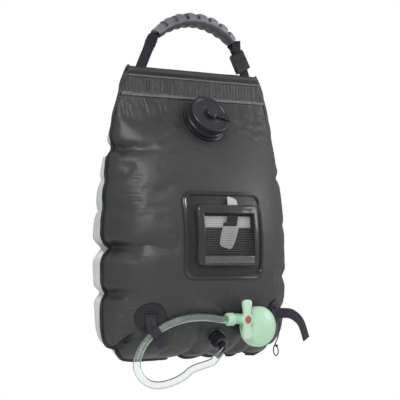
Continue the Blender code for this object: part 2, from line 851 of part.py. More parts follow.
def grip():
    """A soft moulded grip with transverse slots on top, finger ribs below and a tunnel for the webbing."""
    bm = bmesh.new()
    radius = GRIP_WIDTH / 2
    bmesh.ops.create_cone(
        bm, cap_ends=True, segments=GRIP_SIDES, radius1=radius, radius2=radius, depth=2 * GRIP_ARC,
    )
    bmesh.ops.rotate(bm, matrix=Matrix.Rotation(math.pi / 2, 3, "Y"), verts=bm.verts)
    slice_grip(bm, 4 * GRIP_RIB_COUNT)
    for vertex in bm.verts:
        along = vertex.co.x / GRIP_ARC
        taper = 1 - (1 - GRIP_END_SHARE) * along ** 4
        vertex.co.y *= taper
        vertex.co.z *= GRIP_DEPTH / GRIP_WIDTH * taper
        if vertex.co.z < 0 and abs(along) < GRIP_RIBBED_SHARE:
            wave = math.cos(along * math.pi * GRIP_RIB_COUNT)
            vertex.co.z += GRIP_RIB_DEPTH * (0.5 - 0.5 * wave) * min(1.0, -vertex.co.z / (GRIP_DEPTH / 4))
    made = add_object("grip", mesh_from(bm, "grip"), grip_rubber())
    cut(made, box("grip_tunnel", None, (2 * GRIP_ARC + 2 * OVERRUN, TUNNEL_WIDTH, TUNNEL_DEPTH)))
    slot_pitch = 2 * GRIP_ARC * GRIP_SLOTTED_SHARE / (GRIP_SLOT_COUNT - 1)
    for number in range(GRIP_SLOT_COUNT):
        along = (number - (GRIP_SLOT_COUNT - 1) / 2) * slot_pitch
        slot = box(
            f"grip_slot_{number + 1}", None,
            (GRIP_SLOT_LENGTH, GRIP_WIDTH * GRIP_SLOT_WIDTH_SHARE, GRIP_SLOT_DEPTH + OVERRUN),
            (along, 0, GRIP_DEPTH / 2 - GRIP_SLOT_DEPTH / 2 + OVERRUN / 2),
        )
        cut(made, slot)
    straight = frozen(made)
    bm = bmesh.new()
    bm.from_mesh(straight.data)
    slice_grip(bm, 2 * GRIP_RIB_COUNT)
    bm.to_mesh(straight.data)
    bm.free()
    return shade_round(bend_to_arc(straight), 35.0)


def webbing_foot(side):
    """Where the webbing meets the hem, just above the round top edge."""
    return Vector((side * WEBBING_FOOT_X, 0, HEM_TOP_Z + GAP))


def buckle_frame():
    """The buckle's own frame on the right webbing: local Y runs up the webbing, Z faces the front."""
    top = on_grip_arc(GRIP_ARC)
    foot = webbing_foot(1)
    upward = (top - foot).normalized()
    outward = Vector((0, -1, 0))
    across = upward.cross(outward)
    frame = Matrix((across, upward, outward)).transposed().to_4x4()
    frame.translation = foot.lerp(top, BUCKLE_PLACE_SHARE)
    return frame


def band_twist(start, end, first_across, second_across, bow=0.0):
    """Centres and cross directions of a band that turns from one width direction to another."""
    centres = []
    across = []
    for step in range(WEBBING_TWIST_STEPS + 1):
        share = step / WEBBING_TWIST_STEPS
        eased = share * share * (3 - 2 * share)
        centres.append(start.lerp(end, share) + Vector((bow * math.sin(share * math.pi), 0, 0)))
        across.append(first_across.lerp(second_across, eased).normalized())
    return centres, across


def handle_webbing():
    """One band: from the hem's left end, through the grip, to the bar of the buckle's plug half."""
    front_back = Vector((0, 1, 0))
    left_top = on_grip_arc(-GRIP_ARC)
    left_foot = webbing_foot(-1)
    tangent = (on_grip_arc(-GRIP_ARC) - on_grip_arc(-GRIP_ARC + PROBE)).normalized()
    left_out = left_top + tangent * WEBBING_WIDTH / 3
    centres, across = band_twist(left_foot, left_out, Vector((1, 0, 0)), front_back, -WEBBING_WIDTH / 8)
    for step in range(WEBBING_STEPS + 1):
        centres.append(on_grip_arc(GRIP_ARC * (2 * step / WEBBING_STEPS - 1)))
        across.append(front_back)
    bar = buckle_frame() @ Vector((0, BUCKLE_BASE_LENGTH + BUCKLE_BAR, 0))
    right_out = on_grip_arc(GRIP_ARC)
    right_across = buckle_frame().to_3x3() @ Vector((-1, 0, 0))
    more_centres, more_across = band_twist(right_out, bar, front_back, right_across)
    centres += more_centres[1:]
    across += more_across[1:]
    return ribbon("handle_webbing", black_webbing(), centres, across, WEBBING_WIDTH, WEBBING)


def lower_webbing():
    """The short band from the buckle's socket half down to the hem's right end."""
    frame = buckle_frame()
    start = frame @ Vector((0, -BUCKLE_SOCKET_LENGTH - GAP, 0))
    end = webbing_foot(1)
    across = frame.to_3x3() @ Vector((1, 0, 0))
    flat = Vector((1, 0, 0))
    centres, directions = band_twist(start, end, across, flat)
    return ribbon("lower_webbing", black_webbing(), centres, directions, WEBBING_WIDTH, WEBBING)


def buckle_socket():
    """The socket half: a flat sleeve with a side window for each prong and a bar for the webbing."""
    frame = buckle_frame()
    length = BUCKLE_SOCKET_LENGTH
    made = box("buckle_socket", black_plastic(), (BUCKLE_WIDTH, length, BUCKLE_DEPTH), (0, -length / 2, 0), frame)
    round_edges(made, BUCKLE_EDGE)
    cavity_depth = BUCKLE_DEPTH - 2 * BUCKLE_WALL
    cavity_length = PRONG_LENGTH + BUCKLE_WALL
    cut(made, box(
        "buckle_cavity", None, (BUCKLE_WIDTH - 2 * BUCKLE_WALL, cavity_length + OVERRUN, cavity_depth),
        (0, -cavity_length / 2 + OVERRUN / 2, 0), frame,
    ))
    cut(made, box(
        "buckle_windows", None, (BUCKLE_WIDTH + 2 * OVERRUN, BUCKLE_WINDOW, BUCKLE_WINDOW_DEPTH),
        (0, -PRONG_LENGTH + BUCKLE_WINDOW / 2, 0), frame,
    ))
    return made


def buckle_plug():
    """The plug half: a base with a webbing bar, and the straight guide between its two prongs."""
    frame = buckle_frame()
    base = BUCKLE_BASE_LENGTH
    size = (BUCKLE_WIDTH, base, BUCKLE_DEPTH - 2 * GAP)
    made = box("buckle_plug", black_plastic(), size, (0, base / 2 + GAP, 0), frame)
    round_edges(made, BUCKLE_EDGE)
    guide = box(
        "buckle_guide", None, (GUIDE_WIDTH, GUIDE_LENGTH + BUCKLE_BAR, PRONG_DEPTH),
        (0, -(GUIDE_LENGTH - BUCKLE_BAR) / 2, 0), frame,
    )
    join(made, guide)
    return made


def prong_pivot(side):
    return Vector((side * (BUCKLE_WIDTH / 2 - BUCKLE_WALL - PRONG_SHOULDER - PRONG_WIDTH / 2), 0, 0))


def buckle_prong(name, side):
    """One springy side arm of the plug half, with the shoulder that catches in the socket's window."""
    pivot = prong_pivot(side)
    outer = PRONG_WIDTH / 2
    shoulder = outer + PRONG_SHOULDER + BUCKLE_WALL
    outline = [
        (-outer, -GAP),
        (-outer, -PRONG_LENGTH + PRONG_NOSE),
        (0, -PRONG_LENGTH),
        (outer + PRONG_SHOULDER / 2, -PRONG_LENGTH + PRONG_NOSE),
        (shoulder, -PRONG_LENGTH + BUCKLE_WINDOW - BUCKLE_EDGE),
        (outer, -PRONG_LENGTH + BUCKLE_WINDOW - BUCKLE_EDGE),
        (outer, -GAP),
    ]
    outline = [(side * x, y) for x, y in outline]
    place = buckle_frame() @ Matrix.Translation(pivot) @ Matrix.Translation((0, 0, -PRONG_DEPTH / 2))
    return flat_shape(name, black_plastic(), [outline], PRONG_DEPTH, place)


# Fill opening


def cap_frame(rise=0.0):
    frame = front_frame(0, HEM_TOP_Z - CAP_DROP, seat=CAP_SEAT)
    return frame @ Matrix.Translation((0, 0, rise))


def seat_in_panel(panel, name, radius, frame):
    """A flat round seat cut in the bulging front sheet, for a welded flange."""
    tool = rod(name, None, radius + GAP, 0, 10 * OVERRUN, frame, 40)
    return cut(panel, tool)


def fill_neck():
    """The welded neck: a flange on the sheet, and a threaded spout with the fill opening through it."""
    profile = [
        (NECK_BORE_RADIUS, NECK_FLANGE + NECK_HEIGHT),
        (NECK_RADIUS, NECK_FLANGE + NECK_HEIGHT),
        (NECK_RADIUS, NECK_FLANGE + NECK_FLANGE_LIP),
        (NECK_FLANGE_RADIUS - NECK_FLANGE_LIP, NECK_FLANGE + NECK_FLANGE_LIP),
        (NECK_FLANGE_RADIUS, NECK_FLANGE),
        (NECK_FLANGE_RADIUS, GAP),
        (NECK_BORE_RADIUS, GAP),
    ]
    return shade_round(turned("fill_neck", black_plastic(), profile, NECK_STEPS, cap_frame()), 35.0)


def fluted(made, outer, flutes, depth):
    """Presses shallow flutes into the outermost wall of a turned piece."""
    piece = frozen(made)
    for vertex in piece.data.vertices:
        radius = math.hypot(vertex.co.x, vertex.co.y)
        if abs(radius - outer) < GAP:
            turn = math.atan2(vertex.co.y, vertex.co.x)
            scale = 1 - depth / outer * (0.5 - 0.5 * math.cos(turn * flutes))
            vertex.co.x *= scale
            vertex.co.y *= scale
    return piece


def fill_cap():
    """The screw cap: fluted wall, raised rim round a dished face, and a boss for the tether's eye."""
    low = NECK_FLANGE + NECK_FLANGE_LIP + RUN
    high = low + CAP_HEIGHT
    inner = NECK_RADIUS + RUN
    ceiling = high - CAP_TOP - CAP_DISH
    edge = NECK_FLANGE_LIP
    profile = [
        (0, high - CAP_DISH + CAP_BOSS_HEIGHT),
        (CAP_BOSS_RADIUS, high - CAP_DISH + CAP_BOSS_HEIGHT),
        (CAP_BOSS_RADIUS, high - CAP_DISH),
        (CAP_RADIUS - CAP_RIM_WIDTH - CAP_DISH, high - CAP_DISH),
        (CAP_RADIUS - CAP_RIM_WIDTH, high),
        (CAP_RADIUS - edge, high),
        (CAP_RADIUS, high - edge),
        (CAP_RADIUS, low + edge),
        (CAP_RADIUS, low),
        (inner, low),
        (inner, ceiling),
        (0, ceiling),
    ]
    made = turned("fill_cap", black_plastic(), profile, 2 * CAP_FLUTES, cap_frame())
    return shade_round(fluted(made, CAP_RADIUS, CAP_FLUTES, CAP_FLUTE_DEPTH), 30.0)


def cap_face_height():
    return NECK_FLANGE + NECK_FLANGE_LIP + RUN + CAP_HEIGHT - CAP_DISH


def fill_gasket():
    """The flat rubber washer inside the cap, which seals on the neck's end."""
    ceiling = cap_face_height() - CAP_TOP
    neck_end = NECK_FLANGE + NECK_HEIGHT
    low = max(neck_end + GAP, ceiling - GAP - GASKET_THICKNESS)
    outer = NECK_RADIUS - GAP
    profile = [
        (NECK_BORE_RADIUS + GAP, ceiling - GAP),
        (outer, ceiling - GAP),
        (outer, low),
        (NECK_BORE_RADIUS + GAP, low),
    ]
    return shade_round(turned("fill_gasket", seal_rubber(), profile, GASKET_STEPS, cap_frame()))


def cap_button():
    """The round snap head that keeps the tether's eye on the cap's boss."""
    low = cap_face_height() + CAP_BOSS_HEIGHT + GAP
    profile = [
        (0, low + BUTTON_HEIGHT),
        (BUTTON_RADIUS - 3 * BUTTON_CROWN, low + BUTTON_HEIGHT),
        (BUTTON_RADIUS - BUTTON_CROWN, low + BUTTON_HEIGHT - BUTTON_CROWN),
        (BUTTON_RADIUS, low),
        (0, low),
    ]
    return shade_round(turned("cap_button", black_plastic(), profile, SMALL_ROUND_STEPS, cap_frame()), 35.0)


def cap_tether():
    """A flat strap with an eye round the cap's boss, an arm over the rim and a leg down to the flange."""
    face = cap_face_height()
    arm_low = face + CAP_DISH + GAP
    reach = CAP_RADIUS + GAP + RUN
    corner = TETHER * 1.5
    foot = NECK_FLANGE + NECK_FLANGE_LIP + GAP
    route = [
        (CAP_BOSS_RADIUS, arm_low + TETHER / 2),
        (reach - corner, arm_low + TETHER / 2),
        (reach + TETHER / 2, arm_low + TETHER / 2 - corner),
        (reach + TETHER / 2, foot + TETHER),
    ]
    frame = cap_frame() @ Matrix.Rotation(math.radians(TETHER_ANGLE_DEG), 4, "Z")
    centres = [Vector((x, 0, z)) for x, z in route]
    across = [Vector((0, 1, 0))] * len(centres)
    made = ribbon("cap_tether", black_plastic(), centres, across, TETHER_WIDTH, TETHER)
    made = frozen(made)
    made.matrix_world = frame
    eye = rod("tether_eye", None, TETHER_EYE_RADIUS, arm_low, arm_low + TETHER, frame, SMALL_ROUND_STEPS)
    join(made, eye)
    hole = rod(
        "tether_hole", None, CAP_BOSS_RADIUS + RUN, arm_low - OVERRUN, arm_low + OVERRUN, frame, SMALL_ROUND_STEPS,
    )
    cut(made, hole)
    return made


# Soap pocket


def pocket_z():
    return HEM_TOP_Z - POCKET_DROP_SHARE * (HEM_HEIGHT + BAG_BODY_HEIGHT)


def tray_size():
    return POCKET_WIDTH - 2 * TRAY_SIDE_INSET, POCKET_HEIGHT - 2 * TRAY_END_INSET


def window_size():
    width, height = tray_size()
    return width - 2 * WINDOW_SIDE_INSET, height - 2 * WINDOW_END_INSET


def pocket_sheet():
    """The clear sheet welded flat on the bag behind the pocket."""
    outline = rounded_outline(
        POCKET_WIDTH - 2 * BINDING_WIDTH - 2 * GAP, POCKET_HEIGHT - 2 * BINDING_WIDTH - 2 * GAP,
        POCKET_RADIUS - BINDING_WIDTH,
    )
    made = flat_shape("pocket_sheet", clear_pvc(), [outline], POCKET_SHEET)
    return shade_round(drape(made, 0, pocket_z()), 30.0)


def pocket_binding():
    """The raised glossy rim welded round the pocket."""
    outer = rounded_outline(POCKET_WIDTH, POCKET_HEIGHT, POCKET_RADIUS)
    inner = rounded_outline(
        POCKET_WIDTH - 2 * BINDING_WIDTH, POCKET_HEIGHT - 2 * BINDING_WIDTH, POCKET_RADIUS - BINDING_WIDTH,
    )
    made = flat_shape("pocket_binding", black_sheet(), [outer, inner], BINDING_THICKNESS)
    return shade_round(drape(made, 0, pocket_z()), 30.0)


def pocket_tray():
    """The inner pocket: a shallow box open at its top edge, with a window in its front."""
    base = POCKET_SHEET + GAP
    width, height = tray_size()
    outline = rounded_outline(width, height, TRAY_RADIUS, 4)
    made = flat_shape("pocket_tray", black_sheet(), [outline], TRAY_DEPTH)
    made.data.transform(Matrix.Translation((0, 0, base)))
    inside = (width - 2 * TRAY_WALL, height - TRAY_WALL + OVERRUN, TRAY_DEPTH - TRAY_WALL + OVERRUN)
    hollow = box(
        "tray_hollow", None, inside,
        (0, (TRAY_WALL + OVERRUN) / 2, base + TRAY_DEPTH - TRAY_WALL - inside[2] / 2),
    )
    cut(made, hollow)
    window = box("tray_window", None, (*window_size(), 2 * TRAY_DEPTH), (0, WINDOW_RISE, base + TRAY_DEPTH))
    cut(made, window)
    return shade_round(drape(frozen(made), 0, pocket_z()), 30.0)


def pocket_mesh():
    """The net in the window: diamond openings between crossing threads, inside a plain selvedge."""
    width, height = window_size()
    pitch_x = width / MESH_COLUMNS
    pitch_y = height / MESH_ROWS
    outlines = [rounded_outline(width + 2 * MESH_LAP, height + 2 * MESH_LAP, MESH_LAP, 1)]
    half_x = (pitch_x - MESH_THREAD) / 2
    half_y = (pitch_y - MESH_THREAD) / 2
    for row in range(2 * MESH_ROWS - 1):
        shifted = row % 2
        for column in range(MESH_COLUMNS - shifted):
            x = (column - (MESH_COLUMNS - 1 - shifted) / 2) * pitch_x
            y = (row / 2 - (MESH_ROWS - 1) / 2) * pitch_y
            outlines.append([(x + half_x, y), (x, y + half_y), (x - half_x, y), (x, y - half_y)])
    made = flat_shape("pocket_mesh", black_webbing(), outlines, MESH_THREAD / 2)
    back = POCKET_SHEET + TRAY_DEPTH - TRAY_WALL - MESH_THREAD / 2 - GAP
    made.data.transform(Matrix.Translation((0, WINDOW_RISE, back)))
    return lay_on_front(made, 0, pocket_z())


def thermometer_strip():
    """The pale reading strip that lies behind the net."""
    width = window_size()[0] - 2 * STRIP_INSET
    outline = rounded_outline(width, STRIP_HEIGHT, STRIP_THICKNESS, 2)
    made = flat_shape("thermometer_strip", white_plastic(), [outline], STRIP_THICKNESS)
    made.data.transform(Matrix.Translation((0, STRIP_RISE, POCKET_SHEET + GAP)))
    return drape(made, 0, pocket_z())


def white_tag():
    """The blank white card standing in the pocket, with its end above the net."""
    outline = rounded_outline(TAG_WIDTH, TAG_LENGTH, TAG_THICKNESS, 2)
    made = flat_shape("white_tag", white_plastic(), [outline], TAG_THICKNESS)
    lean = Matrix.Rotation(math.radians(TAG_LEAN_DEG), 4, "Z")
    lift = POCKET_SHEET + STRIP_THICKNESS + 2 * GAP
    made.data.transform(Matrix.Translation((TAG_X, TAG_RISE, lift)) @ lean)
    return drape(made, 0, pocket_z())


# Strap patches


def patch_place(side):
    return side * PATCH_ACROSS_SHARE * BAG_HALF_WIDTH, foot_z() + PATCH_RISE


def strap_patch(name, side):
    """A round patch welded near a lower corner, which carries a strap."""
    made = flat_shape(name, black_sheet(), [circle_outline(PATCH_RADIUS, PATCH_SIDES)], PATCH_THICKNESS)
    made.data.transform(Matrix.Translation((0, 0, 2 * GAP)))
    return shade_round(drape(made, *patch_place(side)), 30.0)


# Drain


def outlet_frame():
    return front_frame(0, foot_z() + OUTLET_RISE, seat=OUTLET_SEAT)


def outlet_flange():
    """The welded drain boss: a round flange with a short hub."""
    profile = [
        (0, OUTLET_FLANGE * 2),
        (NUT_RADIUS - NUT_RIB_DEPTH, OUTLET_FLANGE * 2),
        (NUT_RADIUS - NUT_RIB_DEPTH, OUTLET_FLANGE),
        (OUTLET_FLANGE_RADIUS - OUTLET_FLANGE / 2, OUTLET_FLANGE),
        (OUTLET_FLANGE_RADIUS, OUTLET_FLANGE / 2),
        (OUTLET_FLANGE_RADIUS, GAP),
        (0, GAP),
    ]
    return shade_round(turned("outlet_flange", black_plastic(), profile, SMALL_ROUND_STEPS, outlet_frame()), 35.0)


def elbow_directions():
    """The drain's own axis, and the way its barb points: down and to the left."""
    frame = outlet_frame()
    outward = (frame.to_3x3() @ Vector((0, 0, 1))).normalized()
    turn = math.radians(ELBOW_TURN_DEG)
    barb = Vector((-math.sin(turn), 0, -math.cos(turn))).normalized()
    return outward, barb


def elbow_corner():
    return outlet_frame().translation + elbow_directions()[0] * ELBOW_RISE


def axis_frame(origin, direction):
    frame = direction.to_track_quat("Z", "Y").to_matrix().to_4x4()
    frame.translation = origin
    return frame


def outlet_elbow():
    """The drain elbow: a stem through the nut, a round corner and a barbed spout."""
    frame = outlet_frame()
    outward, barb = elbow_directions()
    corner = elbow_corner()
    base = 2 * OUTLET_FLANGE + GAP
    made = rod("outlet_elbow", black_plastic(), ELBOW_RADIUS, base, ELBOW_RISE, frame, ELBOW_SIDES)
    ball = bmesh.new()
    bmesh.ops.create_uvsphere(ball, u_segments=16, v_segments=8, radius=ELBOW_RADIUS + GAP)
    join(made, add_object("elbow_ball", mesh_from(ball, "elbow_ball"), None, Matrix.Translation(corner)))
    ridge_length = ELBOW_REACH * BARB_RIDGED_SHARE / BARB_RIDGES
    profile = [(0, ELBOW_REACH)]
    for ridge in range(BARB_RIDGES):
        high = ELBOW_REACH - ridge * ridge_length
        profile.append((BARB_RADIUS, high))
        profile.append((BARB_RADIUS + BARB_RIDGE, high - ridge_length * BARB_SLOPE_SHARE))
        profile.append((BARB_RADIUS, high - ridge_length * BARB_SLOPE_SHARE))
    profile += [(BARB_RADIUS, 0), (0, 0)]
    join(made, turned("elbow_barb", None, profile, ELBOW_SIDES, axis_frame(corner, barb)))
    return made


def outlet_nut():
    """The ribbed hand nut that turns on the elbow's stem."""
    frame = outlet_frame()
    low = 2 * OUTLET_FLANGE + GAP
    edge = NUT_RIB_DEPTH
    profile = [
        (ELBOW_RADIUS + RUN, low + NUT_LENGTH),
        (NUT_RADIUS - 2 * edge, low + NUT_LENGTH),
        (NUT_RADIUS, low + NUT_LENGTH - edge),
        (NUT_RADIUS, low + edge),
        (NUT_RADIUS, low),
        (ELBOW_RADIUS + RUN, low),
    ]
    made = turned("outlet_nut", black_plastic(), profile, 2 * NUT_RIBS, frame)
    return shade_round(fluted(made, NUT_RADIUS, NUT_RIBS, NUT_RIB_DEPTH), 25.0)


# Hose


def hose_start():
    return elbow_corner() + elbow_directions()[1] * (ELBOW_REACH + GAP)


def hose_end():
    return head_centre() + Vector((-COLLAR_OFFSET - COLLAR_LENGTH - GAP, -NECK_LIFT, HEAD_NECK_RISE))


def hose_route():
    return [off_front(*point) for point in HOSE_ROUTE]


def hose():
    start = hose_start()
    end = hose_end()
    lead = 2 * HOSE_RADIUS
    begin = start + elbow_directions()[1] * lead
    route = [start, begin, *hose_route(), end - Vector((lead, 0, 0)), end]
    return tube("hose", clear_pvc(), smooth_route(route, HOSE_POINTS), HOSE_RADIUS, HOSE_SIDES_RESOLUTION)


# Shower head


def head_centre():
    """The middle of the dome's rim, as far before the sheet as the dome's upper rim needs."""
    beside = off_front(HEAD_ACROSS_SHARE, HEAD_RISE + DOME_RADIUS, HEAD_GAP)
    return beside - Vector((0, 0, DOME_RADIUS))


def head_frame():
    """The head's own frame: local Z points away from the bag, along the dome's axis."""
    frame = Matrix(((1, 0, 0), (0, 0, 1), (0, -1, 0))).transposed().to_4x4()
    frame.translation = head_centre()
    return frame


def dome_rise(radius):
    """The height of the dome's outer face at a distance from its axis."""
    return DOME_HEIGHT * math.sqrt(max(0.0, 1 - (radius / DOME_RADIUS) ** 2))


def head_dome():
    """The smooth dome with the seat for the rose, and the short neck that plugs into the valve."""
    profile = []
    for step in range(DOME_ARC_STEPS + 1):
        radius = DOME_RADIUS * math.sin(step / DOME_ARC_STEPS * math.pi / 2)
        profile.append((radius, dome_rise(radius)))
    seat = DOME_RADIUS - DOME_WALL
    recess = -DOME_SKIRT + ROSE_THICKNESS + GAP
    profile += [(DOME_RADIUS, -DOME_SKIRT), (seat, -DOME_SKIRT), (seat, recess), (0, recess)]
    made = turned("head_dome", green_plastic(), profile, DOME_STEPS, head_frame())
    neck_end = VALVE_OFFSET - VALVE_RADIUS + NECK_LAP
    place = head_frame() @ Matrix.Translation((0, HEAD_NECK_RISE, NECK_LIFT)) @ Matrix.Rotation(-math.pi / 2, 4, "Y")
    root = math.sqrt(DOME_RADIUS ** 2 - HEAD_NECK_RISE ** 2) / 2
    join(made, rod("dome_neck", None, NECK_TUBE_RADIUS, root, neck_end, place, HEAD_SIDES))
    cut(made, rod(
        "dome_neck_end", None, VALVE_RADIUS + GAP, -VALVE_BACK - OVERRUN, VALVE_FRONT + OVERRUN, valve_frame(),
        DOME_STEPS,
    ))
    return made


def valve_frame():
    """The tap's own frame: its origin is on the spindle's axis, level with the neck."""
    return head_frame() @ Matrix.Translation((-VALVE_OFFSET, HEAD_NECK_RISE, 0))


def inlet_frame():
    """Along the neck, away from the dome, with its origin on the spindle's axis."""
    return valve_frame() @ Matrix.Translation((0, 0, NECK_LIFT)) @ Matrix.Rotation(-math.pi / 2, 4, "Y")


def valve_body():
    """The tap's housing across the neck, with a bore for the spindle and a threaded inlet."""
    frame = valve_frame()
    edge = COLLAR_RIB / 2
    profile = [
        (0, VALVE_FRONT),
        (VALVE_RADIUS - edge, VALVE_FRONT),
        (VALVE_RADIUS, VALVE_FRONT - edge),
        (VALVE_RADIUS, -VALVE_BACK + edge),
        (VALVE_RADIUS - edge, -VALVE_BACK),
        (0, -VALVE_BACK),
    ]
    made = turned("valve_body", green_plastic(), profile, DOME_STEPS, frame)
    inlet_end = COLLAR_OFFSET - VALVE_OFFSET + COLLAR_LENGTH * INLET_SHARE
    join(made, rod("valve_inlet", None, NECK_TUBE_RADIUS, VALVE_RADIUS / 2, inlet_end, inlet_frame(), HEAD_SIDES))
    cut(made, rod(
        "spindle_bore", None, SPINDLE_RADIUS + RUN, -VALVE_BACK * SPINDLE_SHARE, VALVE_FRONT + OVERRUN, frame,
        SPINDLE_SIDES,
    ))
    return made


def valve_spindle():
    """The pin that carries the lever and turns in the housing's bore."""
    made = rod(
        "valve_spindle", green_plastic(), SPINDLE_RADIUS, -VALVE_BACK * SPINDLE_SHARE + RUN, VALVE_FRONT + GAP / 2,
        valve_frame(), SPINDLE_SIDES,
    )
    return shade_round(made)


def head_collar():
    """The ribbed ring nut that clamps the hose to the head's inlet."""
    start = COLLAR_OFFSET - VALVE_OFFSET
    bore = NECK_TUBE_RADIUS + GAP
    rib_pitch = COLLAR_LENGTH / COLLAR_RIBS
    end = start + COLLAR_LENGTH
    core = COLLAR_RADIUS - COLLAR_RIB
    bore_end = start + COLLAR_LENGTH * INLET_SHARE + GAP
    profile = [(0, end)]
    for rib in range(COLLAR_RIBS):
        high = end - rib * rib_pitch
        profile.append((core, high))
        profile.append((COLLAR_RADIUS, high - rib_pitch / 4))
        profile.append((COLLAR_RADIUS, high - rib_pitch / 2))
        profile.append((core, high - rib_pitch * 3 / 4))
    profile += [(core, start), (bore, start), (bore, bore_end), (0, bore_end)]
    return shade_round(turned("head_collar", green_plastic(), profile, HEAD_SIDES, inlet_frame()), 30.0)


def head_rose():
    """The spray plate: a disc in the dome's seat, with rings of holes."""
    radius = DOME_RADIUS - DOME_WALL - GAP
    outlines = [circle_outline(radius, DOME_STEPS)]
    for ring in range(1, ROSE_RINGS + 1):
        reach = (radius - 2 * ROSE_RIM) * ring / ROSE_RINGS
        for x, y in circle_outline(reach, ROSE_HOLES_PER_RING * ring):
            outlines.append([(x + hole_x, y + hole_y) for hole_x, hole_y in circle_outline(ROSE_HOLE_RADIUS, 6)])
    place = head_frame() @ Matrix.Translation((0, 0, -DOME_SKIRT))
    return flat_shape("head_rose", green_plastic(), outlines, ROSE_THICKNESS, place)


def lever_outline():
    """The lever's outline, the same turned half round: two flared wings from a round hub."""
    hub_angle = math.asin(LEVER_ROOT_WIDTH / 2 / LEVER_HUB_RADIUS)
    right = []
    for step in range(LEVER_CORNER_STEPS + 1):
        angle = math.pi / 2 * (1 - step / LEVER_CORNER_STEPS)
        right.append((
            LEVER_TIP_WIDTH / 2 - LEVER_TIP_ROUND + LEVER_TIP_ROUND * math.cos(angle),
            LEVER_REACH - LEVER_TIP_ROUND + LEVER_TIP_ROUND * math.sin(angle),
        ))
    corner = right[:]
    for step in range(LEVER_HUB_STEPS + 1):
        angle = math.pi / 2 - hub_angle - step / LEVER_HUB_STEPS * (math.pi - 2 * hub_angle)
        right.append((LEVER_HUB_RADIUS * math.cos(angle), LEVER_HUB_RADIUS * math.sin(angle)))
    right += [(x, -y) for x, y in reversed(corner)]
    return right + [(-x, -y) for x, y in right]


def tap_lever():
    """The T lever: hub and two wings, closed when the wings stand across the neck."""
    base = VALVE_FRONT + GAP
    place = valve_frame() @ Matrix.Translation((0, 0, base))
    made = flat_shape("tap_lever", lever_plastic(), [lever_outline()], LEVER_THICKNESS, place)
    return round_edges(made, LEVER_EDGE, 2, 50.0)


def tap_plug():
    """The round screw cover in the middle of the lever."""
    low = VALVE_FRONT + GAP + LEVER_THICKNESS + GAP
    profile = [
        (0, low + PLUG_HEIGHT),
        (PLUG_RADIUS - PLUG_HEIGHT / 2, low + PLUG_HEIGHT),
        (PLUG_RADIUS, low + PLUG_HEIGHT / 2),
        (PLUG_RADIUS, low),
        (0, low),
    ]
    return shade_round(turned("tap_plug", plug_plastic(), profile, SMALL_ROUND_STEPS, valve_frame()), 35.0)


# Straps at the lower corners


def patch_frame(side):
    return front_frame(*patch_place(side))


def hose_at_strap():
    """The point of the hose nearest the left patch's strap, and the hose's direction there."""
    start = hose_start()
    end = hose_end()
    points = smooth_route([start, *hose_route(), end], 6 * HOSE_POINTS)
    target = patch_frame(-1) @ Vector((0, -PATCH_RADIUS * STRAP_HOLD_SHARE, 0))
    nearest = min(range(1, len(points) - 1), key=lambda n: (points[n] - target).length)
    return points[nearest], (points[nearest + 1] - points[nearest - 1]).normalized()


def strap_lift():
    return PATCH_THICKNESS + STRAP_THICKNESS / 2 + 5 * GAP


def left_strap():
    """The webbing that leaves the patch, wraps over the hose and ends in a short tail below it."""
    frame = patch_frame(-1)
    normal = (frame.to_3x3() @ Vector((0, 0, 1))).normalized()
    centre, along = hose_at_strap()
    outward = (normal - along * normal.dot(along)).normalized()
    upward = along.cross(outward).normalized()
    if upward.z < 0:
        upward = -upward
    hold = HOSE_RADIUS + STRAP_THICKNESS / 2 + 4 * GAP
    route = [
        frame @ Vector((0, PATCH_RADIUS / 4, strap_lift())),
        frame @ Vector((0, -PATCH_RADIUS / 7, strap_lift() + STRAP_THICKNESS)),
    ]
    for step in range(STRAP_WRAP_STEPS + 1):
        angle = math.radians(STRAP_WRAP_DEG) * (1 / 2 - step / STRAP_WRAP_STEPS)
        route.append(centre + hold * (math.cos(angle) * outward + math.sin(angle) * upward))
    route.append(centre - upward * (hold + STRAP_TAIL / 2) - outward * hold / 5)
    route.append(centre - upward * (hold + STRAP_TAIL) - outward * hold / 3)
    centres = smooth_route(route, STRAP_POINTS)
    on_patch = (along - normal * normal.dot(along)).normalized()
    across = []
    for number in range(STRAP_POINTS):
        share = min(1.0, number / (STRAP_POINTS * STRAP_SPREAD_SHARE))
        across.append(on_patch.lerp(along, share).normalized())
    return shade_round(frozen(ribbon("left_strap", black_webbing(), centres, across, STRAP_WIDTH, STRAP_THICKNESS)))


def right_strap_root():
    return patch_frame(1) @ Vector((PATCH_RADIUS * RIGHT_STRAP_ROOT_SHARE, 0, strap_lift() + GAP))


def right_strap():
    """The free strap on the right patch: it leaves sideways and bends down."""
    root = right_strap_root()
    route = [root, *[root + Vector(step) for step in RIGHT_STRAP_STEPS]]
    centres = smooth_route(route, STRAP_POINTS)
    first = Vector((0, 0, 1))
    last = Vector(RIGHT_STRAP_END_ACROSS)
    across = [first.lerp(last, number / (len(centres) - 1)).normalized() for number in range(len(centres))]
    made = ribbon("right_strap", black_webbing(), centres, across, STRAP_WIDTH, STRAP_THICKNESS)
    return shade_round(frozen(made))


# Thin cord


def cord_top():
    return patch_frame(1) @ Vector((PATCH_RADIUS / 2, -PATCH_RADIUS / 2, PATCH_THICKNESS + 3 * GAP))


def cord_route():
    return [off_front(*point) for point in CORD_ROUTE]


def hang_cord():
    outward = patch_frame(1).to_3x3() @ Vector((0, 0, CORD_LEAD))
    route = [cord_top(), cord_top() + outward, *cord_route()]
    return tube("hang_cord", black_webbing(), smooth_route(route, CORD_POINTS), CORD_RADIUS, 2)


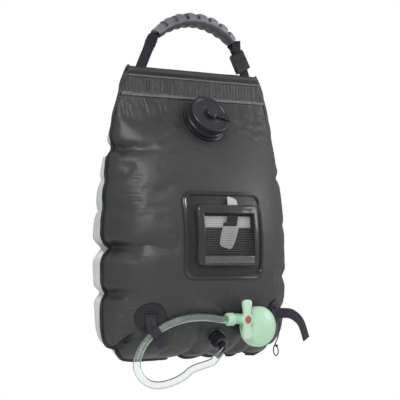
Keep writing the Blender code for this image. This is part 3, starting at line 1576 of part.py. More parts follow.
def cord_knot():
    """The small knot that closes the cord's loop."""
    before, end = cord_route()[-2:]
    away = (end - before).normalized()
    ball = bmesh.new()
    bmesh.ops.create_uvsphere(ball, u_segments=12, v_segments=8, radius=KNOT_RADIUS)
    centre = end + away * (KNOT_RADIUS + GAP)
    place = Matrix.Translation(centre)
    return shade_round(add_object("cord_knot", mesh_from(ball, "cord_knot"), black_webbing(), place))


# Assembly, with an empty on the axis of each moving group


def pivot(name, place, parent=None):
    made = bpy.data.objects.new(name, None)
    parts.objects.link(made)
    made.empty_display_size = EMPTY_SIZE
    made.matrix_world = place
    if parent:
        hang(parent, made)
    return made


def hang(parent, *pieces):
    """Parents the pieces to an empty and leaves them where they are."""
    bpy.context.view_layer.update()
    for piece in pieces:
        piece.parent = parent
        piece.matrix_parent_inverse = parent.matrix_world.inverted()


def make_handle():
    grip()
    handle_webbing()
    lower_webbing()
    buckle_plug()
    buckle_socket()
    for name, side in (("buckle_prong_left", -1), ("buckle_prong_right", 1)):
        axis = pivot(f"{name}_axis", buckle_frame() @ Matrix.Translation(prong_pivot(side)))
        hang(axis, buckle_prong(name, side))


def make_bag(axis):
    front = bag_half("front_panel", black_sheet(), FRONT_BULGE, -1)
    seat_in_panel(front, "neck_seat", NECK_FLANGE_RADIUS, cap_frame())
    seat_in_panel(front, "outlet_seat", OUTLET_FLANGE_RADIUS, outlet_frame())
    back = bag_half("back_panel", white_sheet(), BACK_BULGE, 1)
    hang(axis, front, back, top_sleeve(), hanger_rod())


def make_fill(axis):
    hang(axis, fill_neck())
    lift = pivot("cap_lift_axis", cap_frame(), axis)
    hang(lift, cap_tether())
    turn = pivot("cap_turn_axis", cap_frame(), lift)
    hang(turn, fill_cap(), fill_gasket(), cap_button())


def make_pocket(axis):
    hang(axis, pocket_sheet(), pocket_binding(), pocket_tray(), pocket_mesh(), thermometer_strip(), white_tag())


def make_straps(axis):
    hang(axis, strap_patch("left_patch", -1), strap_patch("right_patch", 1), left_strap(), hang_cord(), cord_knot())
    swing = pivot("right_strap_axis", Matrix.Translation(right_strap_root()), axis)
    hang(swing, right_strap())


def make_drain(axis):
    hang(axis, outlet_flange(), outlet_elbow(), hose())
    turn = pivot("outlet_nut_axis", outlet_frame(), axis)
    hang(turn, outlet_nut())


def make_head(axis):
    centre, along = hose_at_strap()
    swing = pivot("shower_head_axis", Matrix.Translation(centre), axis)
    hang(swing, head_dome(), head_rose(), valve_body(), head_collar())
    tap = pivot("tap_axis", valve_frame(), swing)
    hang(tap, tap_lever(), tap_plug(), valve_spindle())


make_handle()
bag_axis = pivot("bag_swing_axis", Matrix.Translation((0, 0, HEM_TOP_Z - SLEEVE_RADIUS)))
make_bag(bag_axis)
make_fill(bag_axis)
make_pocket(bag_axis)
make_straps(bag_axis)
make_drain(bag_axis)
make_head(bag_axis)
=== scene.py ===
"""Looks of the camp shower bag: the full bag on its handle, its fittings, its hose and its shower head.

Metres, +Z up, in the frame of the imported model. The front faces -Y and the bag hangs from the grip.
"""

import math

import bmesh
import bpy
import numpy as np
from mathutils import Matrix, Vector, noise


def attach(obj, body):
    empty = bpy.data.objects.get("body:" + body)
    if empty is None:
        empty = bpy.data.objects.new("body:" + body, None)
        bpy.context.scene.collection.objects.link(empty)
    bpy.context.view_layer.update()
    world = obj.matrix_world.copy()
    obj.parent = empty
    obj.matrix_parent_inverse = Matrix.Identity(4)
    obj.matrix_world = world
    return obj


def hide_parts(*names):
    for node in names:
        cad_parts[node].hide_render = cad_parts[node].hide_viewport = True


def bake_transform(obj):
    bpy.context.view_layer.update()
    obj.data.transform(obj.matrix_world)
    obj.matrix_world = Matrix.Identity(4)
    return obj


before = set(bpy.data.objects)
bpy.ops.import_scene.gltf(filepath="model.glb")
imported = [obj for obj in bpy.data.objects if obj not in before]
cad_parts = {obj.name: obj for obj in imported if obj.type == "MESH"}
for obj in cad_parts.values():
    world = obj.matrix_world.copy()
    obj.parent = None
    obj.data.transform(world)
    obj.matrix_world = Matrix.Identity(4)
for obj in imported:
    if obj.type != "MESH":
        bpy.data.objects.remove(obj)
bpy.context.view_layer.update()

# The studio: a pale round floor well under the hanging bag, soft lamps and a pale sky.
# Floor and sky fade to white for the camera, and the floor keeps the shadow of the bag.
FLOOR_Z = -0.70
FLOOR_RADIUS = 0.80
LAMP_AIM = Vector((0, 0, -0.30))
CAMERA_DISTANCE = 2.267
CAMERA_Z = -0.3717
CAMERA_AZIMUTH = math.radians(35.0)
CAMERA_SIDE_STEP = 0.010
CAMERA_PITCH = math.radians(2.105)
FOCAL_PIXELS = 1360
PHOTO_PIXELS = 400


def put(name, data):
    made = bpy.data.objects.new(name, data)
    bpy.context.scene.collection.objects.link(made)
    return made


def mesh_of(bm):
    """The finished mesh of a bmesh, which is freed."""
    data = bpy.data.meshes.new("piece")
    bm.to_mesh(data)
    bm.free()
    return data


def node_maker(owner):
    """Empties the node tree of a material or world, and gives back what adds a node to it.

    A word with a capital is an input and takes a value, a node or a socket. The words a, b and c are
    the first three inputs. Any other word is a setting of the node.
    """
    owner.use_nodes = True
    tree = owner.node_tree
    tree.nodes.clear()

    def node(kind, **words):
        made = tree.nodes.new("ShaderNode" + kind)
        for word, value in words.items():
            if word[0].islower() and len(word) > 1:
                setattr(made, word, value)
                continue
            socket = made.inputs["abc".index(word) if word in "abc" else word.replace("_", " ")]
            if isinstance(value, bpy.types.Node):
                value = value.outputs[0]
            if isinstance(value, bpy.types.NodeSocket):
                tree.links.new(value, socket)
            else:
                socket.default_value = value
        return made

    return node


def floor_finish():
    look = bpy.data.materials.new("pale_floor")
    node = node_maker(look)
    away = node("VectorMath", operation="LENGTH", a=node("TexCoord").outputs["Object"]).outputs["Value"]
    rim = node(
        "MapRange", interpolation_type="SMOOTHSTEP", From_Min=FLOOR_RADIUS / 3, From_Max=FLOOR_RADIUS,
        Value=away,
    )
    fade = node("Math", operation="MULTIPLY", a=node("LightPath").outputs["Is Camera Ray"], b=rim)
    matte = node("BsdfDiffuse", Color=(0.86, 0.86, 0.86, 1))
    node("OutputMaterial", Surface=node("MixShader", a=fade, b=matte, c=node("Emission")))
    return look


def pale_sky():
    world = bpy.data.worlds.new("pale_sky")
    bpy.context.scene.world = world
    node = node_maker(world)
    ray = node("LightPath").outputs
    direct = node("Math", operation="MAXIMUM", a=ray["Is Camera Ray"], b=ray["Is Transmission Ray"])
    light = node("Background", Color=(0.97, 0.98, 1.0, 1), Strength=0.42)
    seen = node("Background", Color=(1, 1, 1, 1))
    node("OutputWorld", Surface=node("MixShader", a=direct, b=light, c=seen))


def photo_camera():
    """Stands to the left of the bag's front, a little below its middle, and looks slightly up."""
    lens = bpy.data.cameras.new("camera")
    lens.sensor_width = 36
    lens.lens = lens.sensor_width * FOCAL_PIXELS / PHOTO_PIXELS
    camera = put("camera", lens)
    forward = Vector((math.sin(CAMERA_AZIMUTH), math.cos(CAMERA_AZIMUTH), 0))
    right = Vector((math.cos(CAMERA_AZIMUTH), -math.sin(CAMERA_AZIMUTH), 0))
    camera.location = -CAMERA_DISTANCE * forward + CAMERA_SIDE_STEP * right + Vector((0, 0, CAMERA_Z))
    camera.rotation_euler = (math.pi / 2 + CAMERA_PITCH, 0, -CAMERA_AZIMUTH)
    bpy.context.scene.camera = camera


disc = bmesh.new()
bmesh.ops.create_circle(disc, cap_ends=True, segments=96, radius=FLOOR_RADIUS)
floor = put("floor", mesh_of(disc))
floor.data.materials.append(floor_finish())
floor.location = (0, 0, FLOOR_Z)
for lamp_name, lamp_place, lamp_width, lamp_power in (
    ("key_lamp", (-1.3, -1.7, 1.0), 1.1, 31),
    ("side_lamp", (1.7, -1.0, 0.3), 1.0, 9),
    ("back_lamp", (0.3, 1.8, 0.9), 1.2, 14),
):
    lamp_light = bpy.data.lights.new(lamp_name, "AREA")
    lamp_light.shape = "DISK"
    lamp_light.size = lamp_width
    lamp_light.energy = lamp_power
    lamp_turn = (LAMP_AIM - Vector(lamp_place)).to_track_quat("-Z", "Y").to_matrix().to_4x4()
    put(lamp_name, lamp_light).matrix_world = Matrix.Translation(lamp_place) @ lamp_turn
pale_sky()
photo_camera()
bpy.context.scene.view_settings.view_transform = "Standard"

# The hose: a soft clear PVC tube, slightly milky and green at its cut ends, about 0.36 m long.
# It is pushed over the drain elbow's barb, hangs in a loop, passes under the left strap and ends
# in the shower head's collar. It swells where the barb stretches it.
HOSE_RADIUS = 0.0062
HOSE_WALL = 0.0015
HOSE_BARB_RADIUS = 0.0074
BARB_DIRECTION = Vector((-0.73135, 0, -0.682))
HOSE_START = Vector((-0.01558, -0.08529, -0.54271))
HOSE_END = Vector((-0.0032, -0.0966, -0.4830))
HOSE_ROUTE = (
    (-0.0560, -0.0795, -0.5605),
    (-0.0740, -0.0785, -0.5715),
    (-0.0950, -0.0765, -0.5800),
    (-0.1170, -0.0735, -0.5835),
    (-0.1345, -0.0705, -0.5800),
    (-0.1480, -0.0675, -0.5690),
    (-0.1530, -0.0650, -0.5560),
    (-0.1510, -0.0630, -0.5430),
    (-0.1455, -0.0620, -0.5305),
    (-0.1370, -0.0620, -0.5180),
    (-0.1250, -0.0630, -0.5065),
    (-0.1095, -0.0675, -0.4955),
    (-0.0935, -0.0765, -0.4865),
    (-0.0750, -0.0860, -0.4805),
    (-0.0540, -0.0915, -0.4785),
    (-0.0330, -0.0935, -0.4800),
)


def smooth_route(points, count):
    """Points at an even spacing on one smooth curve through the given points."""
    knots = [Vector(point) for point in points]
    knots = [2 * knots[0] - knots[1], *knots, 2 * knots[-1] - knots[-2]]
    dense = []
    for before, start, end, after in zip(knots, knots[1:], knots[2:], knots[3:]):
        for step in range(24):
            t = step / 24
            dense.append(0.5 * (
                2 * start + (end - before) * t + (2 * before - 5 * start + 4 * end - after) * t ** 2
                + (3 * start - before - 3 * end + after) * t ** 3
            ))
    dense.append(knots[-2])
    line = np.array(dense)
    travelled = np.concatenate([[0], np.cumsum(np.linalg.norm(np.diff(line, axis=0), axis=1))])
    stations = np.linspace(0, travelled[-1], count)
    spots = [np.interp(stations, travelled, line[:, axis]) for axis in range(3)]
    return [Vector(point) for point in zip(*spots)]


def skin(rings, ends="", open_side=False, wall=0.0):
    """A mesh over rings of points, or over rows if its side is open. Each ring is joined to the next.

    A ring can be one point. The first and the last ring are filled where they are named.
    """
    bm = bmesh.new()
    rows = [[bm.verts.new(point) for point in ring] for ring in rings]
    for first, second in zip(rows, rows[1:]):
        for step in range(max(len(first), len(second)) - open_side):
            corners = [first[step % len(first)], first[(step + 1) % len(first)]]
            corners += [second[(step + 1) % len(second)], second[step % len(second)]]
            bm.faces.new(dict.fromkeys(corners))
    if "first" in ends:
        bm.faces.new(rows[0][::-1])
    if "last" in ends:
        bm.faces.new(rows[-1])
    if wall:
        bmesh.ops.solidify(bm, geom=bm.faces[:], thickness=wall)
    bmesh.ops.recalc_face_normals(bm, faces=bm.faces)
    return mesh_of(bm)


def heading(points, number, reach=1):
    """The way a line runs at one of its points."""
    return points[min(number + reach, len(points) - 1)] - points[max(number - reach, 0)]


def swept(points, radii, sides, wall=0.0):
    """A round tube along the points, with a radius at each; a wall leaves it hollow and open."""
    side = (points[1] - points[0]).orthogonal().normalized()
    turns = [2 * math.pi * step / sides for step in range(sides)]
    rings = []
    for number, (point, radius) in enumerate(zip(points, radii)):
        ahead = heading(points, number)
        side = (side - side.project(ahead)).normalized()
        other = ahead.cross(side).normalized()
        rings.append([point + radius * (math.cos(turn) * side + math.sin(turn) * other) for turn in turns])
    return skin(rings, "" if wall else "first last", wall=wall)


def joined(meshes):
    """One mesh of several, for parts that are moulded together."""
    bm = bmesh.new()
    for part in meshes:
        bm.from_mesh(part)
        bpy.data.meshes.remove(part)
    return mesh_of(bm)


def piece(name, data, crease_deg, look, body, slot, *nodes):
    """A piece of the object: on its body, with its finish, in place of the solids it stands for.

    It is shaded smooth, with crisp edges where the surface turns by more than the crease angle.
    """
    data.name = name
    data.shade_smooth()
    if crease_deg:
        data.set_sharp_from_angle(angle=math.radians(crease_deg))
    data.materials.append(look)
    made = put(name, data)
    if body:
        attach(made, body)
    if nodes:
        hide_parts(*nodes)
    return made


def ramp(node, share, *stops):
    """A colour ramp; each stop is a place and a grey level or a colour."""
    made = node("ValToRGB", Fac=share)
    for number, (place, color) in enumerate(stops):
        stop = made.color_ramp.elements[number] if number < 2 else made.color_ramp.elements.new(place)
        stop.position = place
        stop.color = (*(color if isinstance(color, (tuple, list)) else [color] * 3), 1)
    return made


def tinted(node, share, color, dark, pale, dark_at=0.0, pale_at=1.0):
    """A ramp from a darker to a paler tone of one colour."""
    tones = [[min(1.0, channel * tone) for channel in color] for tone in (dark, pale)]
    return ramp(node, share, (dark_at, tones[0]), (pale_at, tones[1]))


# Multiplies a colour by a grey; every use here paints shade into a colour.
def darkened(node, tint, shade):
    return node("MixRGB", blend_type="MULTIPLY", Fac=1.0, Color1=tint, Color2=shade)


def plastic_finish(
    name, color, roughness, grain=0.0002, grain_scale=900.0, shade=0.10, coat=0.0, see_through=0.0, painted_shade=None,
):
    """A moulded finish: a fine grain in the surface and a slight drift of colour and polish."""
    look = bpy.data.materials.new(name)
    node = node_maker(look)
    place = node("TexCoord").outputs["Object"]
    drift = node("TexNoise", Scale=28.0, Detail=4.0, Vector=place)
    tint = tinted(node, drift, color, 1 - shade, 1 + shade, 0.3, 0.7)
    # A function given for painted shade darkens the colour where shade falls.
    shader = node(
        "BsdfPrincipled", Coat_Weight=coat, Subsurface_Weight=see_through,
        Base_Color=painted_shade(node, tint) if painted_shade else tint,
        Roughness=node("MapRange", To_Min=max(0.02, roughness - 0.06), To_Max=roughness + 0.06, Value=drift),
        Normal=node(
            "Bump", Strength=0.35, Distance=grain,
            Height=node("TexNoise", Scale=grain_scale, Detail=3.0, Vector=place),
        ),
    )
    node("OutputMaterial", Surface=shader)
    return look


def tube_finish(name, color, haze, gloss):
    """Clear flexible PVC: see-through, a little milky, with a wet-looking gloss that grows at its edges."""
    look = bpy.data.materials.new(name)
    node = node_maker(look)
    cloud = node("TexNoise", Scale=60.0, Vector=node("TexCoord").outputs["Object"])
    clear = node("BsdfTransparent", Color=(0.985, 0.995, 0.99, 1))
    milky = node("BsdfPrincipled", Roughness=0.35, Base_Color=tinted(node, cloud, color, 0.94, 1.0))
    polish = node("MapRange", To_Min=gloss, To_Max=gloss + 0.08, Value=cloud)
    shine = node("BsdfGlossy", Color=(0.93, 0.97, 0.95, 1), Roughness=polish)
    body = node("MixShader", a=haze, b=clear, c=milky)
    node("OutputMaterial", Surface=node("MixShader", a=node("Fresnel", IOR=1.30), b=body, c=shine))
    return look


clear_pvc = tube_finish("clear_pvc", (0.80, 0.93, 0.88), 0.13, 0.12)
hose_points = smooth_route([
    HOSE_START - 0.010 * BARB_DIRECTION, HOSE_START, HOSE_START + 2 * HOSE_RADIUS * BARB_DIRECTION,
    *HOSE_ROUTE, HOSE_END - Vector((2 * HOSE_RADIUS, 0, 0)), HOSE_END + Vector((HOSE_RADIUS / 2, 0, 0)),
], 110)
hose_swell = HOSE_BARB_RADIUS - HOSE_RADIUS
hose_radii = [HOSE_RADIUS + hose_swell * max(0.0, 1 - number / 6) for number in range(len(hose_points))]
hose = piece(
    "hose_tube", swept(hose_points, hose_radii, 28, HOSE_WALL), 60.0, clear_pvc, None, "clear_pvc", "hose",
)
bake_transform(hose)

# The thin cord: a black braided cord tied through the right patch, hanging down to a small loop.
# The loop is closed with a knot. It is about 84 mm long and 2 mm thick.
CORD_RADIUS = 0.001
CORD_TOP = Vector((0.13358, -0.05233, -0.48948))
CORD_OUTWARD = Vector((0.0022, -0.0020, 0))
CORD_ROUTE = (
    (0.1385, -0.0530, -0.5000),
    (0.1375, -0.0530, -0.5110),
    (0.1345, -0.0530, -0.5210),
    (0.1300, -0.0530, -0.5290),
    (0.1262, -0.0530, -0.5370),
    (0.1255, -0.0545, -0.5440),
    (0.1285, -0.0560, -0.5490),
    (0.1330, -0.0560, -0.5465),
    (0.1345, -0.0552, -0.5405),
    (0.1322, -0.0550, -0.5350),
)
KNOT_RADIUS = 0.0024
KNOT_STEP = 0.0026


def braid_finish(name, color, ridges_per_metre):
    """Cord or thread: crossing diagonal ridges and a soft fuzz."""
    look = bpy.data.materials.new(name)
    node = node_maker(look)
    ridges = node(
        "TexWave", bands_direction="DIAGONAL", Scale=ridges_per_metre, Distortion=2.0,
        Vector=node("TexCoord").outputs["Object"],
    ).outputs["Fac"]
    shader = node(
        "BsdfPrincipled", Roughness=0.78, Sheen_Weight=0.25, Base_Color=tinted(node, ridges, color, 0.6, 1.3),
        Normal=node("Bump", Distance=0.0003, Height=ridges),
    )
    node("OutputMaterial", Surface=shader)
    return look


black_braid = braid_finish("black_braid", (0.020, 0.018, 0.022), 260.0)
cord_points = smooth_route([CORD_TOP, CORD_TOP + CORD_OUTWARD, *CORD_ROUTE], 60)
knot_ball = bmesh.new()
bmesh.ops.create_icosphere(knot_ball, subdivisions=3, radius=KNOT_RADIUS)
for vertex in knot_ball.verts:
    twist = math.atan2(vertex.co.y, vertex.co.x) * 3 + vertex.co.z * 2200
    vertex.co *= 1 + 0.09 * math.sin(twist)
knot_mesh = mesh_of(knot_ball)
knot_mesh.transform(
    Matrix.Translation(cord_points[-1] + (cord_points[-1] - cord_points[-2]).normalized() * KNOT_STEP)
)
knot = piece("cord_end_knot", knot_mesh, 60.0, black_braid, "bag", "webbing", "cord_knot")
thin_cord = piece(
    "thin_cord", swept(cord_points, [CORD_RADIUS] * 60, 12), 60.0, black_braid, "bag", "webbing", "hang_cord",
)

# The two sheets of the bag, full of water: black PVC on the front and milky white PVC on the back.
# They are welded together all round and gathered into a narrower hem, so the full bag bulges and
# creases run in from the welds. The hem holds a round sleeve with the hanging rod in it.
HEM_TOP_Z = -0.073
HEM_HEIGHT = 0.046
BODY_HEIGHT = 0.429
HEM_FOOT_Z = HEM_TOP_Z - HEM_HEIGHT
HEM_HALF_WIDTH = 0.127
BAG_HALF_WIDTH = 0.178
CORNER_RADIUS = 0.055
FRONT_BULGE = 0.0925
BACK_BULGE = 0.0885
SHEET = 0.0013
SHOULDER_SHARE = 0.62
DEEPEST_SHARE = 0.56
WIDTH_POWER = 0.7
SWELL_POWER = 0.95
BASE_POWER = 2.3
ACROSS_POWER = 2.5
FRONT_EDGE_POWER = 0.62
BACK_EDGE_POWER = 0.36
SLEEVE_RADIUS = 0.0060
COLUMNS = 112
HEM_ROWS = 22
BODY_ROWS = 128
LAST_ROW = HEM_ROWS + BODY_ROWS
# Each crease: where it starts on the weld (x, z), which way it runs (x, z), how long it is, how wide it
# starts, how far it pulls the weld in, and how deep it is.
CREASES = (
    ((-0.168, -0.206), (1.0, -0.16), 0.075, 0.0062, 0.0100, 0.0105),
    ((-0.180, -0.370), (1.0, 0.05), 0.110, 0.0066, 0.0150, 0.0120),
    ((-0.180, -0.380), (1.0, -0.25), 0.060, 0.0060, 0.0000, 0.0060),
    ((-0.180, -0.441), (1.0, 0.02), 0.055, 0.0058, 0.0090, 0.0090),
    ((-0.181, -0.262), (1.0, 0.15), 0.040, 0.0055, 0.0030, 0.0040),
    ((-0.182, -0.305), (1.0, -0.10), 0.045, 0.0060, 0.0032, 0.0045),
    ((-0.150, -0.523), (0.55, 0.83), 0.050, 0.0066, 0.0090, 0.0080),
    ((-0.040, -0.549), (0.35, 0.94), 0.075, 0.0070, 0.0075, 0.0100),
    ((0.013, -0.549), (-0.20, 0.98), 0.050, 0.0062, 0.0040, 0.0070),
    ((0.050, -0.549), (0.25, 0.97), 0.065, 0.0066, 0.0065, 0.0090),
    ((0.093, -0.549), (-0.10, 0.99), 0.055, 0.0062, 0.0070, 0.0080),
    ((0.145, -0.528), (-0.55, 0.83), 0.060, 0.0066, 0.0080, 0.0080),
    ((0.178, -0.250), (-1.0, -0.10), 0.055, 0.0060, 0.0055, 0.0070),
    ((0.180, -0.335), (-1.0, 0.12), 0.060, 0.0064, 0.0040, 0.0060),
    ((0.180, -0.418), (-1.0, 0.05), 0.070, 0.0064, 0.0085, 0.0085),
    ((0.180, -0.470), (-1.0, 0.10), 0.040, 0.0058, 0.0050, 0.0060),
    ((-0.128, -0.121), (0.22, -0.98), 0.070, 0.0058, 0.0000, 0.0055),
    ((-0.108, -0.121), (0.12, -0.99), 0.085, 0.0062, 0.0000, 0.0060),
    ((-0.088, -0.121), (0.25, -0.97), 0.060, 0.0054, 0.0000, 0.0045),
    ((-0.066, -0.121), (0.05, -0.99), 0.050, 0.0060, 0.0000, 0.0035),
    ((0.090, -0.121), (-0.10, -0.99), 0.050, 0.0060, 0.0000, 0.0035),
    ((0.118, -0.121), (-0.15, -0.98), 0.060, 0.0056, 0.0000, 0.0045),
)
# Places that stay as they are because a fitting is welded there: middle (x, z), half size (x, z).
HELD_PLACES = (
    ((0, -0.160), (0.040, 0.036)),
    ((0, -0.348), (0.080, 0.073)),
    ((-0.1235, -0.478), (0.024, 0.024)),
    ((0.1235, -0.478), (0.024, 0.024)),
    ((0, -0.513), (0.020, 0.017)),
)
HOLD_FADE = 0.014
WRINKLE_LIMIT = 0.0070
# The front stays calm beside the pocket: middle (x, z), reach (x, z), and the share that is calmed.
CALM_PLACE = (0.045, -0.290)
CALM_REACH = (0.105, 0.150)
CALM_SHARE = 0.70


def kept_within(value):
    return min(1.0, max(0.0, value))


def wavering(x, y, z):
    """Smooth chance between -1 and 1, always the same at the same place."""
    return noise.noise(Vector((x, y, z)))


def bell(value, width):
    return math.exp(-(value / width) ** 2)


def bag_half_width(z):
    fall = max(0.0, HEM_TOP_Z - z)
    body = HEM_HEIGHT + BODY_HEIGHT
    spread = min(1.0, fall / (body * SHOULDER_SHARE))
    width = HEM_HALF_WIDTH + (BAG_HALF_WIDTH - HEM_HALF_WIDTH) * math.sin(spread * math.pi / 2) ** WIDTH_POWER
    corner = max(0.0, fall - (body - CORNER_RADIUS)) / CORNER_RADIUS
    return width - CORNER_RADIUS * (1 - math.sqrt(max(0.0, 1 - min(1.0, corner) ** 2)))


def bag_swell(z):
    down = (HEM_FOOT_Z - z) / BODY_HEIGHT
    if down <= 0 or down >= 1:
        return 0.0
    if down < DEEPEST_SHARE:
        return math.sin(down / DEEPEST_SHARE * math.pi / 2) ** SWELL_POWER
    low = (down - DEEPEST_SHARE) / (1 - DEEPEST_SHARE)
    return (1 - low ** BASE_POWER) ** (1 / BASE_POWER)


def held(x, z, side=-1):
    """On the front, 1 where a fitting holds the sheet, falling to 0 a little way outside it."""
    most = 0.0
    for (mid_x, mid_z), (half_x, half_z) in HELD_PLACES if side < 0 else ():
        away = math.hypot(max(0.0, abs(x - mid_x) - half_x), max(0.0, abs(z - mid_z) - half_z))
        most = max(most, 1 - min(1.0, away / HOLD_FADE))
    return most * most * (3 - 2 * most)


def creased(x, y, z, side):
    """Moves a point of a sheet into the creases that run in from the welds."""
    free = 1 - held(x, z, side)
    near_weld = min(1.0, abs(y) / 0.018)
    for (start_x, start_z), (way_x, way_z), reach, width, pull, depth in CREASES:
        size = math.hypot(way_x, way_z)
        along = ((x - start_x) * way_x + (z - start_z) * way_z) / size
        across = ((x - start_x) * way_z - (z - start_z) * way_x) / size
        if along > reach or abs(across) > 0.06:
            continue
        inward = max(0.0, along)
        edge = bell(across, 1.6 * width) * bell(inward, 0.022)
        x += pull * edge * way_x / size
        z += pull * edge * way_z / size
        off = across - 0.006 * wavering(along * 30, start_x * 90, start_z * 90)
        spread = width + 0.16 * inward
        valley = bell(off, spread) - 0.35 * bell(off, 2.4 * spread) + 0.42 * bell(off, 0.40 * spread)
        y -= side * depth * valley * (1 - inward / reach) ** 1.3 * near_weld * free
    return x, y, z


def hem_profile(x, z):
    """Half the hem's thickness at a height: the round sleeve on top, then a gathered strip and the weld."""
    from_top = HEM_TOP_Z - z
    centre = from_top - SLEEVE_RADIUS
    sleeve = math.sqrt(max(0.0, SLEEVE_RADIUS ** 2 - centre ** 2)) if from_top < 2 * SLEEVE_RADIUS else 0.0
    strip = SHEET + 0.0007 * bell(from_top - 0.0150, 0.0012) + 0.0016 * bell(from_top - HEM_HEIGHT, 0.0016)
    fade = kept_within((from_top - 2 * SLEEVE_RADIUS) / 0.008)
    left = 0.35 + 0.65 * kept_within((0.03 - x) / 0.10)
    gather = 0.0016 * wavering(x * 150 + 3, z * 14, 2.0) + 0.0009 * wavering(x * 330, z * 20, 7)
    return max(sleeve, strip) + fade * left * gather


def sheet_point(side, across_share, z):
    """A point of a sheet as it hangs full, before its fine wrinkles."""
    x = across_share * bag_half_width(z)
    if z >= HEM_FOOT_Z:
        closing = min(1.0, (1 - abs(across_share)) / 0.02) ** 0.5
        return x, side * max(0.0, hem_profile(x, z)) * closing, z
    bulge, edge_power = (FRONT_BULGE, FRONT_EDGE_POWER) if side < 0 else (BACK_BULGE, BACK_EDGE_POWER)
    round_off = (1 - min(1.0, abs(across_share)) ** ACROSS_POWER) ** edge_power
    y = side * (SHEET * (1 - abs(across_share) ** 40) + bulge * bag_swell(z) * round_off)
    below = HEM_FOOT_Z - z
    left = 0.25 + 0.75 * kept_within((0.02 - x) / 0.10)
    gather = wavering(x * 85 + 5, z * 7, 4.0) * 0.0042 * left * math.exp(-below / 0.030)
    gather *= (1 - math.exp(-below / 0.004)) * (1 - held(x, z, side))
    return creased(x, y + side * (gather + 0.0014 * bell(below, 0.0035)), z, side)


def full_bag():
    """Both sheets as one closed skin, with the number of each grid point of each side.

    The rows are fine in the hem and close up again towards the foot.
    """
    rows = [HEM_TOP_Z - HEM_HEIGHT * step / HEM_ROWS for step in range(HEM_ROWS)]
    for t in [step / BODY_ROWS for step in range(BODY_ROWS + 1)]:
        rows.append(HEM_FOOT_Z - BODY_HEIGHT * (0.42 * t + 0.58 * math.sin(t * math.pi / 2)))
    evenly = [2 * step / COLUMNS - 1 for step in range(COLUMNS + 1)]
    columns = [0.55 * math.sin(share * math.pi / 2) + 0.45 * share for share in evenly]
    points = []
    number_of = {}
    for side in (-1, 1):
        for row, z in enumerate(rows):
            for column, across in enumerate(columns):
                on_weld = column in (0, COLUMNS) or row in (0, LAST_ROW)
                if side > 0 and on_weld:
                    number_of[side, row, column] = number_of[-1, row, column]
                    continue
                x, y, z_new = sheet_point(side, across, z)
                if on_weld:
                    y = 0.0022 * wavering(x * 35, 3, z * 35)
                number_of[side, row, column] = len(points)
                points.append((x, y, z_new))
    faces = [
        [number_of[(side, *corner)] for corner in grid_corners(row, column, side)]
        for side in (-1, 1) for row in range(LAST_ROW) for column in range(COLUMNS)
    ]
    return np.array(points), faces, number_of


def grid_corners(row, column, side):
    corners = [(row, column), (row + 1, column), (row + 1, column + 1), (row, column + 1)]
    return corners if side < 0 else corners[::-1]


def wrinkled(points, faces, loose):
    """Lets the skin settle as cloth under the water's pressure; the move stays small and off the welds."""
    data = bpy.data.meshes.new("bag_cloth")
    data.from_pydata(points.tolist(), [], faces)
    trial = put("bag_cloth", data)
    pins = trial.vertex_groups.new(name="pins")
    for number, free in enumerate(loose):
        if free < 1:
            pins.add([number], float(1 - free), "REPLACE")
    cloth = trial.modifiers.new("cloth", "CLOTH")
    for setting, value in {
        "quality": 5, "mass": 0.2, "tension_stiffness": 18, "compression_stiffness": 18, "shear_stiffness": 6,
        "bending_stiffness": 0.6, "use_pressure": True, "uniform_pressure_force": 4, "shrink_min": -0.022,
        "shrink_max": -0.022, "vertex_group_mass": "pins",
    }.items():
        setattr(cloth.settings, setting, value)
    cloth.settings.effector_weights.gravity = 0
    cloth.collision_settings.use_collision = False
    for frame_number in range(1, 17):
        bpy.context.scene.frame_set(frame_number)
    settled = trial.evaluated_get(bpy.context.evaluated_depsgraph_get())
    move = np.array([vertex.co[:] for vertex in settled.data.vertices]) - points
    bpy.context.scene.frame_set(1)
    bpy.data.objects.remove(trial, do_unlink=True)
    length = np.linalg.norm(move, axis=1, keepdims=True)
    move *= np.minimum(1, WRINKLE_LIMIT / np.maximum(length, 1e-9))
    return points + move * np.array(loose)[:, None]


def sheet_part(side, first_row, last_row):
    """The faces of one side of the skin between two rows."""
    kept = {}
    faces = []
    for row in range(first_row, last_row):
        for column in range(COLUMNS):
            numbers = [skin_numbers[(side, *corner)] for corner in grid_corners(row, column, side)]
            faces.append([kept.setdefault(number, len(kept)) for number in numbers])
    data = bpy.data.meshes.new("sheet")
    data.from_pydata([tuple(skin_points[number]) for number in kept], [], faces)
    data.validate()
    return data


